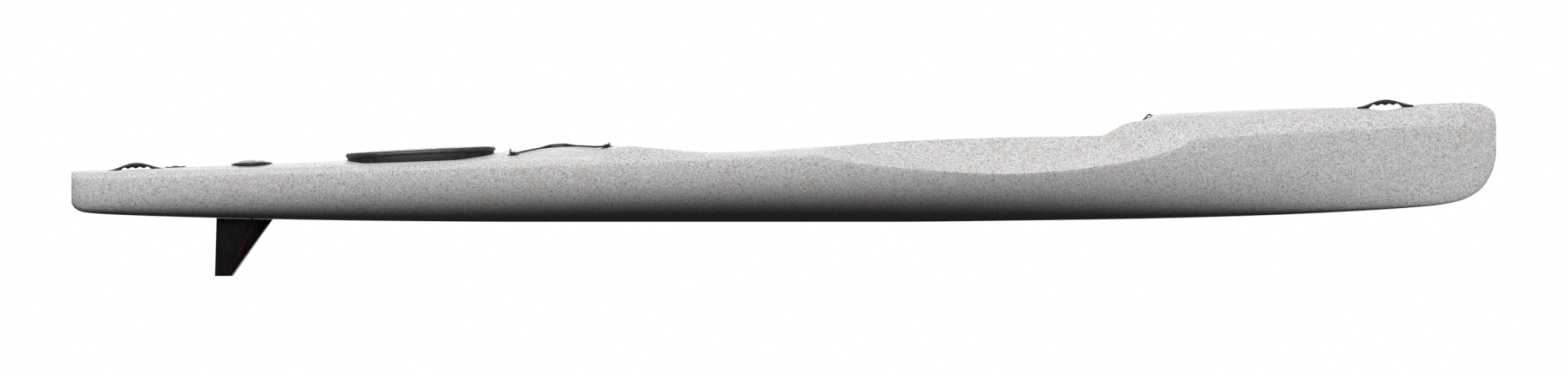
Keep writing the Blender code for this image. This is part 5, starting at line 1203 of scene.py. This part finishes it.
def deckBungee():
    b = bungee
    up = Vector((0, 0, b["baseHeight"] + b["radius"]))
    necks = [(postFrame(x, y) @ up)[:2] for x, y in bungeePosts.values()]
    arcs = [postArc(necks[i - 1], necks[i], necks[(i + 1) % 4], side) for i, side in enumerate(postTurns)]
    points = []
    for index, arc in enumerate(arcs):
        points += [bungeePoint(x, y, 0.0) for x, y in arc]
        (x0, y0), (x1, y1) = arc[-1], arcs[(index + 1) % 4][0]
        for step in range(1, b["runSteps"]):
            t = step / b["runSteps"]
            lift = eased((b["liftHalf"] - abs(t - b["crossing"])) / b["liftRun"]) if index == 0 else 0.0
            over = (2 * b["radius"] + b["gap"]) * lift
            points.append(bungeePoint(x0 + (x1 - x0) * t, y0 + (y1 - y0) * t, over))
    for _ in range(b["evenings"]):  # the cord runs smooth where the deck's facets step
        heights = [point.z for point in points]
        for k, point in enumerate(points):
            point.z = (heights[k - 1] + 2 * heights[k] + heights[(k + 1) % len(points)]) / 4
    mesh = tubeBody(points, b["radius"], b["around"], closed=True)
    return addPiece("deckBungee", mesh, "bungee_cord", "boat", ["deck_bungee"], 60.0)


def bungeePost(name):
    b = bungee
    spot, normal = deckSpot(*bungeePosts[name])[:2]
    ahead = (Vector((1, 0, 0)) - normal * normal.x).normalized()
    place = Matrix.Translation(spot) @ Matrix((ahead, normal.cross(ahead), normal)).transposed().to_4x4()
    neck, cap, high, foot = b["postRadius"], b["capRadius"], b["postHeight"], b["baseHeight"]
    peak = high + b["capHeight"]
    pad = {"length": b["baseLength"], "width": b["baseWidth"], "power": b["basePower"]}
    levels = ovalLevels(pad, [
        (0.0, 1.0, None), (0.0, 1.0, 0.0003), (0.0, 0.97, 0.0007), (0.0, 0.86, 0.0014), (0.0, 0.70, 0.0020),
        (0.0, 0.55, foot)])
    levels += roundLevels([
        (neck + 0.0006, foot + 0.0002), (neck, foot + 0.0008), (neck, high - 0.0009),
        (neck + 0.0006, high - 0.0003),
        (cap - 0.0008, high), (cap - 0.0002, high + 0.0003), (cap, high + 0.0006),
        (cap - 0.0006, high + 0.0011),
        (0.6 * cap, peak - 0.0002), (0.42 * cap, peak), (0.38 * cap, peak - 0.0003),
        (0.36 * cap, peak - 0.0010),
        (0.0, peak - 0.0010)])
    mesh = stackedBody(levels, b["postSides"], place, closeEnds=True)
    addPiece(plainName("bungee_post_" + name), mesh, "black_fitting", "boat", ["bungee_post_" + name])
    top = place @ Matrix.Translation((0, 0, peak + 0.0002))
    screw = screwBody(b["screwHead"], b["screwShank"], high + b["screwReach"], top)
    addPiece(plainName("bungee_screw_" + name), screw, "stainless", "boat", ["bungee_screw_" + name])


deckBungee()
for post in bungeePosts:
    bungeePost(post)
print("deck bungee made")


# Leash eye
leash = {
    "length": 0.036, "width": 0.013, "power": 3.2,
    "thickness": 0.0018, "bedding": 0.004, "strapWidth": 0.0080,
    "strapThickness": 0.0042, "strapPower": 0.6, "around": 20,
    "path": [(-0.0108, -0.0006), (-0.0092, 0.0008), (-0.0040, 0.0034), (0.0025, 0.0064), (0.0068, 0.0074),
             (0.0098, 0.0056), (0.0106, 0.0026), (0.0106, -0.0006)],
}


def leashEye():
    g, thick = leash, leash["thickness"]
    outline = [ovalPoint(k / 48, g["length"], g["width"], g["power"]) for k in range(48)]
    base = plateBody(outline, thick + g["bedding"], Matrix.Translation((0, 0, (thick - g["bedding"]) / 2)))
    bevelSharp(base, 0.0007)
    path = smoothThrough([Vector((x, z + 0.6 * thick)) for x, z in g["path"]], 5)

    def spotAt(i, j):
        along = (path[min(j + 1, len(path) - 1)] - path[max(j - 1, 0)]).normalized()
        angle = 2 * math.pi * (i % g["around"] + 0.5) / g["around"]
        out = g["strapThickness"] / 2 * signedPower(math.cos(angle), g["strapPower"])
        wide = g["strapWidth"] / 2 * signedPower(math.sin(angle), g["strapPower"])
        return Vector((path[j].x - along.y * out, wide, path[j].y + along.x * out))

    mesh = joined(base, gridBody(g["around"], len(path) - 1, spotAt, closeEnds=True))
    mesh.transform(deckFrame(stations["leashEye"], g["length"]))
    return addPiece("leashEye", mesh, "stainless", "boat", ["leash_eye"], finish=finishes["black_fitting"])


leashEye()
print("leash eye made")


# Rudder
blade = {
    "depth": 0.169, "leadTop": 0.063, "trailTop": -0.106, "leadTip": -0.057, "trailTip": -0.111,
    "thickness": 0.0145, "tipThickness": 0.0045, "thinning": 1.4, "rootGap": 0.003, "gap": 0.0003,
    "tipRound": 0.0008, "tipInset": 0.0006, "tipShares": (1.0, 0.8, 0.35), "along": 26, "down": 30,
    "shaftDepth": 0.045, "shaftEdge": 0.0008, "shaftSides": 40,
}


def foilHalf(along):
    shape = 1.4845 * math.sqrt(along) - 0.63 * along - 1.758 * along ** 2
    shape += 1.4215 * along ** 3 - 0.5075 * along ** 4
    return max(shape, 0.05 if along > 0.5 else 0.0)


def rudderBlade():
    x0 = stationX(stations["rudder"])
    b, n = blade, blade["along"]
    bottom = keelHeight(x0) - b["rootGap"] - b["depth"]
    keels = {}

    def spotAt(i, j):
        depth = min(j, b["down"]) / b["down"]
        inset = max(j - b["down"], 0)
        step = i % (2 * n)
        side, step = (1, step) if step <= n else (-1, 2 * n - step)
        lead = b["leadTop"] + (b["leadTip"] - b["leadTop"]) * depth - b["tipInset"] * inset
        trail = b["trailTop"] + (b["trailTip"] - b["trailTop"]) * depth + b["tipInset"] * inset
        along = 0.5 - 0.5 * math.cos(math.pi * step / n)
        px = lead + (trail - lead) * along
        if px not in keels:
            keels[px] = keelHeight(x0 + px)
        top = keels[px] - b["gap"]
        thick = b["thickness"] + (b["tipThickness"] - b["thickness"]) * depth ** b["thinning"]
        y = side * foilHalf(along) * thick * b["tipShares"][inset]
        if depth < 1:
            z = max(top + (bottom - top) * depth, bottom + b["tipRound"])
        else:
            z = bottom + (b["tipRound"], 0.0002, 0.0)[inset]
        return Vector((x0 + px, y, z))

    mesh = gridBody(2 * n, b["down"] + 2, spotAt, closeEnds=True)
    return addPiece("rudderBlade", mesh, "rudder_black", "rudder", ["rudder_blade"], 55.0)


def rudderShaft():
    low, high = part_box("rudder_shaft")
    root = keelHeight(stationX(stations["rudder"])) - blade["rootGap"] - blade["shaftDepth"]
    r, edge = (high.x - low.x) / 2, blade["shaftEdge"]
    profile = [(0.0, root), (r, root), (r, high.z - edge), (r - edge, high.z), (0.0, high.z)]
    mesh = spunBody(profile, blade["shaftSides"])
    mesh.transform(Matrix.Translation(((low.x + high.x) / 2, 0, 0)))
    return addPiece("rudderShaft", mesh, "stainless", "rudder", ["rudder_shaft"])


rudderBlade()
rudderShaft()
softened("rudder_tiller", "anodised_aluminium", "rudder", 0.0007)
print("rudder made")


# Rudder lines in their conduits
lineGear = {
    "line": 0.0015, "conduit": 0.0036, "wall": 0.0016,
    "fairleadHeight": 0.150, "reach": 0.012, "slant": 0.008,
    "tillerArm": 0.042, "tillerHalf": 0.005, "eyeSide": 0.0850, "toeShare": 0.78, "lineAround": 10,
    "conduitAround": 16,
    "grommet": [(0.0038, -0.004), (0.0085, -0.004), (0.0085, -0.001), (0.0070, 0.0022), (0.0052, 0.0060),
                (0.0038, 0.0064)],
    "route": [(-1.455, 0.153, 0.083), (-1.37, 0.247, 0.088), (-1.26, 0.400, 0.095), (-1.12, 0.500, 0.102),
              (-0.95, 0.587, 0.110), (-0.75, 0.673, 0.118), (-0.50, 0.783, 0.126), (-0.25, 0.843, 0.132),
              (0.0, 0.840, 0.138), (0.15, 0.787, 0.142), (0.27, 0.700, 0.145), (0.35, 0.593, 0.147)],
}
board = {
    "tilt": math.radians(24), "width": 0.204, "height": 0.140, "thickness": 0.008, "corner": 0.028,
    "floorGap": 0.006, "lug": 0.008, "lugRound": 0.0038, "pedalHeight": 0.072, "pedalThickness": 0.006,
    "pedalCorner": 0.018, "sideGap": 0.0006, "knuckle": 0.0062, "barrelBore": 0.0032, "eyeHeight": 0.050,
    "treads": 9, "treadFrom": 0.016, "treadPitch": 0.0135, "treadHeight": 0.0055, "treadRound": 0.0006,
    "pedalTreads": 4, "pedalTreadFrom": 0.015, "pedalTreadPitch": 0.0125, "eyeClear": 0.0085,
    "stiffeners": (-0.060, -0.034, 0.034, 0.060), "foot": ((-0.002, -0.016, 0.0), (0.034, 0.016, 0.060)),
    "carriageTop": 0.020,
}
cockpitFloor = deckHeight(stationX((stations["trackAft"] + stations["trackFore"]) / 2))
boardFrame = (Matrix.Translation((stationX(stations["board"]), 0, cockpitFloor + board["floorGap"]))
              @ Matrix.Rotation(board["tilt"], 4, "Y"))
pedalAxis = board["height"] + board["knuckle"] + board["sideGap"]
pedalFrame = boardFrame @ Matrix.Translation((board["thickness"] / 2, 0, pedalAxis))
eyePoint = pedalFrame @ Vector((-board["pedalThickness"] / 2, lineGear["eyeSide"], board["eyeHeight"]))


def lineRoute():
    g = lineGear
    x = stationX(stations["fairlead"])
    wall = skinTree.ray_cast(Vector((x, 0.0, g["fairleadHeight"])), Vector((0, 1, 0)))[0]
    wall = Vector((x, wall.y, g["fairleadHeight"]))
    route = [Vector((x, share * hullForm["beam"] / 2, z)) for x, share, z in g["route"]]
    route += [
        wall - Vector((g["reach"], -0.75 * g["slant"], 0.0)), wall + Vector((g["reach"], -g["slant"], 0.0))]
    x = stationX(stations["rudder"]) + g["tillerHalf"] + g["line"]
    tiller = Vector((x, g["tillerArm"], g["route"][0][2]))
    return tiller, route, wall


def makeConduit(side, path):
    conduit = tubeBody(path, lineGear["conduit"], lineGear["conduitAround"])
    ends = [face for face in conduit.faces if len(face.verts) > 4]
    bmesh.ops.delete(conduit, geom=ends, context="FACES_ONLY")
    bmesh.ops.solidify(conduit, geom=conduit.faces, thickness=lineGear["wall"])
    faceOut(conduit)
    addPiece(side + "Conduit", conduit, "conduit_plastic", "boat", [side + "_line_conduit"], 50.0)


def makeGrommet(side, wall, heading, mirror):
    rubber = spunBody(lineGear["grommet"], 28)
    rubber.transform(standing(wall, heading))
    rubber.transform(mirror)
    faceOut(rubber)
    addPiece(side + "LineGrommet", rubber, "black_rubber", "boat")


def makeLines(side, mirror):
    tiller, route, wall = lineRoute()
    inside = route[-1]
    toe = inside.lerp(eyePoint, lineGear["toeShare"])

    def mirrored(points, steps):
        return [mirror @ point for point in smoothThrough(points, steps)]

    def lineLength(name, points, body=None):
        mesh = tubeBody(points, lineGear["line"], lineGear["lineAround"])
        return addPiece(side + name, mesh, "rudder_line", body, [side + "_rudder_line"], 60.0)

    path = mirrored(route, 8)
    makeConduit(side, path)
    aft = mirrored([tiller, route[0]], 10)
    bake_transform(lineLength("LineTail", aft))
    lineLength("Line", path, "boat")
    run = mirrored([inside, toe], 24)
    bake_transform(lineLength("LineRun", run))
    last = mirrored([toe, eyePoint], 16)
    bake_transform(lineLength("LineEnd", last))
    makeGrommet(side, wall, (inside - wall).normalized(), mirror)


makeLines("port", Matrix())
makeLines("starboard", Matrix.Diagonal((1, -1, 1, 1)))
print("rudder lines made")


# Footboard, pedals, strap and track
across = Matrix.Rotation(math.radians(90), 4, "X")
facingAft = Matrix.Rotation(math.radians(90), 4, "Z") @ across


def roundedOutline(low, high, corners, steps=6):
    # corners: radii at low-left, low-right, high-right, high-left
    (x0, y0), (x1, y1) = low, high
    spots = [(x0, y0, corners[0], 180), (x1, y0, corners[1], 270),
             (x1, y1, corners[2], 0), (x0, y1, corners[3], 90)]
    out = []
    for x, y, radius, start in spots:
        if radius < 0.0001:
            out.append((x, y))
            continue
        cx = x + radius if x == x0 else x - radius
        cy = y + radius if y == y0 else y - radius
        for step in range(steps + 1):
            angle = math.radians(start + 90 * step / steps)
            out.append((cx + radius * math.cos(angle), cy + radius * math.sin(angle)))
    return out


def tread(face, proud, low, high, z):
    return boxBody((face - proud, low, z),
        (face + 0.001, high, z + board["treadHeight"]), board["treadRound"])


def footboardPiece():
    b, half, t = board, board["width"] / 2, board["thickness"]
    outline = roundedOutline((-half, 0.0), (half, b["height"]), (b["corner"], b["corner"], 0.003, 0.003), 8)
    plate = plateBody(outline, t, Matrix.Translation((t / 2, 0, 0)) @ facingAft)
    bevelSharp(plate, 0.0010)
    parts = []
    for index in range(b["treads"]):
        z = b["treadFrom"] + index * b["treadPitch"]
        wide = half - (0.020 if index == 0 else 0.010)
        parts += [tread(0.0, 0.0014, low, high, z) for low, high in ((-wide, -0.022), (0.022, wide))]
    ear = roundedOutline(
        (0.0, b["height"] - 0.004), (t, pedalAxis + b["knuckle"]), (0, 0, b["lugRound"], b["lugRound"]), 8)
    for index in range(3):
        body = plateBody(ear, b["lug"], across)
        y = -half + b["lug"] / 2 + index * (b["width"] - b["lug"]) / 2
        body.transform(Matrix.Translation((0, y, 0)))
        bevelSharp(body, 0.0006)
        parts.append(body)
    parts.append(boxBody(*b["foot"], 0.0015))
    for y in b["stiffeners"]:
        low, high = (t - 0.0005, y - 0.0015, 0.012), (t + 0.006, y + 0.0015, b["height"] - 0.006)
        parts.append(boxBody(low, high, 0.0008))
    mesh = joined(plate, *parts)
    mesh.transform(boardFrame)
    planeCut(mesh, (0, 0, cockpitFloor + b["carriageTop"]), (0, 0, -1))
    faceOut(mesh)
    addPiece("footboardPlate", mesh, "black_fitting", "foot_unit", ["footboard"])


def pedalPiece(side, name):
    b, t, knuckle = board, board["pedalThickness"], board["knuckle"]
    inner, outer = b["lug"] / 2 + b["sideGap"], b["width"] / 2 - b["lug"] - b["sideGap"]
    low, high = sorted((side * inner, side * outer))
    rounds = (0, 0, b["pedalCorner"], b["pedalCorner"])
    outline = roundedOutline((low, 0.0), (high, b["pedalHeight"]), rounds, 10)
    mesh = plateBody(outline, t, facingAft)
    bevelSharp(mesh, 0.0010, 3)
    parts = []
    for index in range(b["pedalTreads"]):
        z = b["pedalTreadFrom"] + index * b["pedalTreadPitch"]
        wide = 0.012 if index == b["pedalTreads"] - 1 else 0.006
        reach = (low + wide, high - wide)
        if 0.035 < z + 0.003 < 0.060:  # the treads stop short of the line's eye
            eye = lineGear["eyeSide"] - b["eyeClear"]
            reach = (low + wide, eye) if side > 0 else (-eye, high - wide)
        parts.append(tread(-t / 2, 0.0013, *reach, z))
    barrel = spunBody([
        (b["barrelBore"], low + 0.0002), (knuckle - 0.0006, low), (knuckle, low + 0.0006),
        (knuckle, high - 0.0006), (knuckle - 0.0006, high), (b["barrelBore"], high - 0.0002)], 32)
    barrel.transform(Matrix.Diagonal((1, -1, 1, 1)) @ across)
    faceOut(barrel)
    mesh = joined(mesh, barrel, *parts)
    mesh.transform(pedalFrame)
    return addPiece(name + "Pedal", mesh, "black_fitting", name + "_toe_pedal", [name + "_pedal"])


strap = {
    "width": 0.038, "thickness": 0.0026, "reach": 0.070, "height": 0.092, "inset": 0.006, "power": 0.8,
    "steps": 72, "across": 8, "dish": 0.0012, "edgeThin": 0.35, "gap": 0.0003,
}


def footStrap():
    half = board["width"] / 2 - strap["inset"]
    n, m = strap["steps"], strap["across"]
    line = []
    for step in range(n + 1):
        y = half - 2 * half * step / n
        swell = abs(math.sin(2 * math.pi * step / n)) ** strap["power"]
        line.append(Vector((-strap["reach"] * swell - strap["gap"] - strap["thickness"] / 2, y)))

    def spotAt(i, j):
        along = (line[min(j + 1, n)] - line[max(j - 1, 0)]).normalized()
        out = Vector((-along.y, along.x))
        i = i % (2 * m + 2)
        w, side = (i / m, 1) if i <= m else (1 - (i - m - 1) / m, -1)
        dish = strap["dish"] * (1 - (2 * w - 1) ** 2)  # the webbing dishes a little
        edge = 1 - strap["edgeThin"] * abs(2 * w - 1) ** 8
        spot = line[j] + out * (side * strap["thickness"] / 2 * edge - dish)
        return boardFrame @ Vector((spot.x, spot.y, strap["height"] + (w - 0.5) * strap["width"]))

    mesh = gridBody(2 * m + 2, n, spotAt, (2 * strap["width"], lengthOf(line)), closeEnds=True)
    return addPiece("footStrap", mesh, "webbing", "foot_unit", ["foot_strap"], 50.0)


knob = {
    "thickness": 0.010, "radius": 0.0108, "lobes": 5, "lobeDepth": 0.1, "sides": 80, "stem": 0.0030,
    "levels": [(0.0, 0.0), (0.72, 0.0), (0.93, 0.0005), (1.0, 0.0018), (1.0, 0.0078), (0.95, 0.0093),
               (0.80, 0.0100), (0.55, 0.0100), (0.50, 0.0092), (0.0, 0.0092)],
}


def clampKnob():
    low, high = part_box("clamp_knob")
    centre = (low + high) / 2
    inner = high.y - knob["thickness"]

    def spotAt(i, j):
        share, height = knob["levels"][j]
        angle = 2 * math.pi * (i % knob["sides"]) / knob["sides"]
        r = share * knob["radius"] * (1 - knob["lobeDepth"] * (1 - math.cos(knob["lobes"] * angle)))
        return Vector((centre.x + r * math.cos(angle), inner + height, centre.z + r * math.sin(angle)))

    mesh = gridBody(knob["sides"], len(knob["levels"]) - 1, spotAt)
    reach = inner - low.y + 0.001
    stem = spunBody([(0.0, 0.0), (knob["stem"], 0.0), (knob["stem"], reach), (0.0, reach)], 24)
    turn = Matrix.Rotation(math.radians(-90), 4, "X")
    stem.transform(Matrix.Translation((centre.x, low.y, centre.z)) @ turn)
    mesh = joined(mesh, stem)
    faceOut(mesh)
    return addPiece("clampKnob", mesh, "black_fitting", "clamp", ["clamp_knob"], 40.0)


footboardPiece()
pedalPiece(1, "port")
pedalPiece(-1, "starboard")
footStrap()
clampKnob()
softened("footboard_carriage", "black_fitting", "foot_unit", 0.0012)
softened("footboard_track", "anodised_aluminium", "boat", 0.0004)
softened("pedal_pin", "stainless", "foot_unit", 0.0005)
print("footboard made")

softened("bailer_housing", "black_fitting", "boat", 0.0007)
softened("bailer_flap", "black_fitting", "bailer_gate", 0.0005)
softened("bailer_lever", "black_fitting", "bailer_gate", 0.0012)
print("bailer made")


def foamPillar(node):
    # cut to the deck's inner face
    mesh = packedMesh(node, 1)
    for vert in mesh.verts:
        ceiling = deckHeight(vert.co.x, vert.co.y) - hullForm["wall"] - 0.0008
        vert.co.z = min(vert.co.z, ceiling)
    faceOut(mesh)
    bevelSharp(mesh, 0.0015)
    return addPiece(plainName(node), mesh, "foam", "boat", [node])


foamPillar("front_foam_pillar")
foamPillar("rear_foam_pillar")
print("foam pillars made")

# CAD nodes that keep their shape take the finish of their slot
slotOf = {
    "rudder_tube": "black_fitting", "rudder_lower_bush": "white_nylon", "rudder_upper_bush": "white_nylon",
    "tiller_set_screw": "stainless", "rudder_port_seal": "black_rubber",
    "bailer_pin": "stainless", "seat_foam_block": "foam",
}
for name, slot in slotOf.items():
    data = nodes[name].data
    data.materials.clear()
    data.materials.append(finishes[slot])
print("kept nodes finished:", len(slotOf))
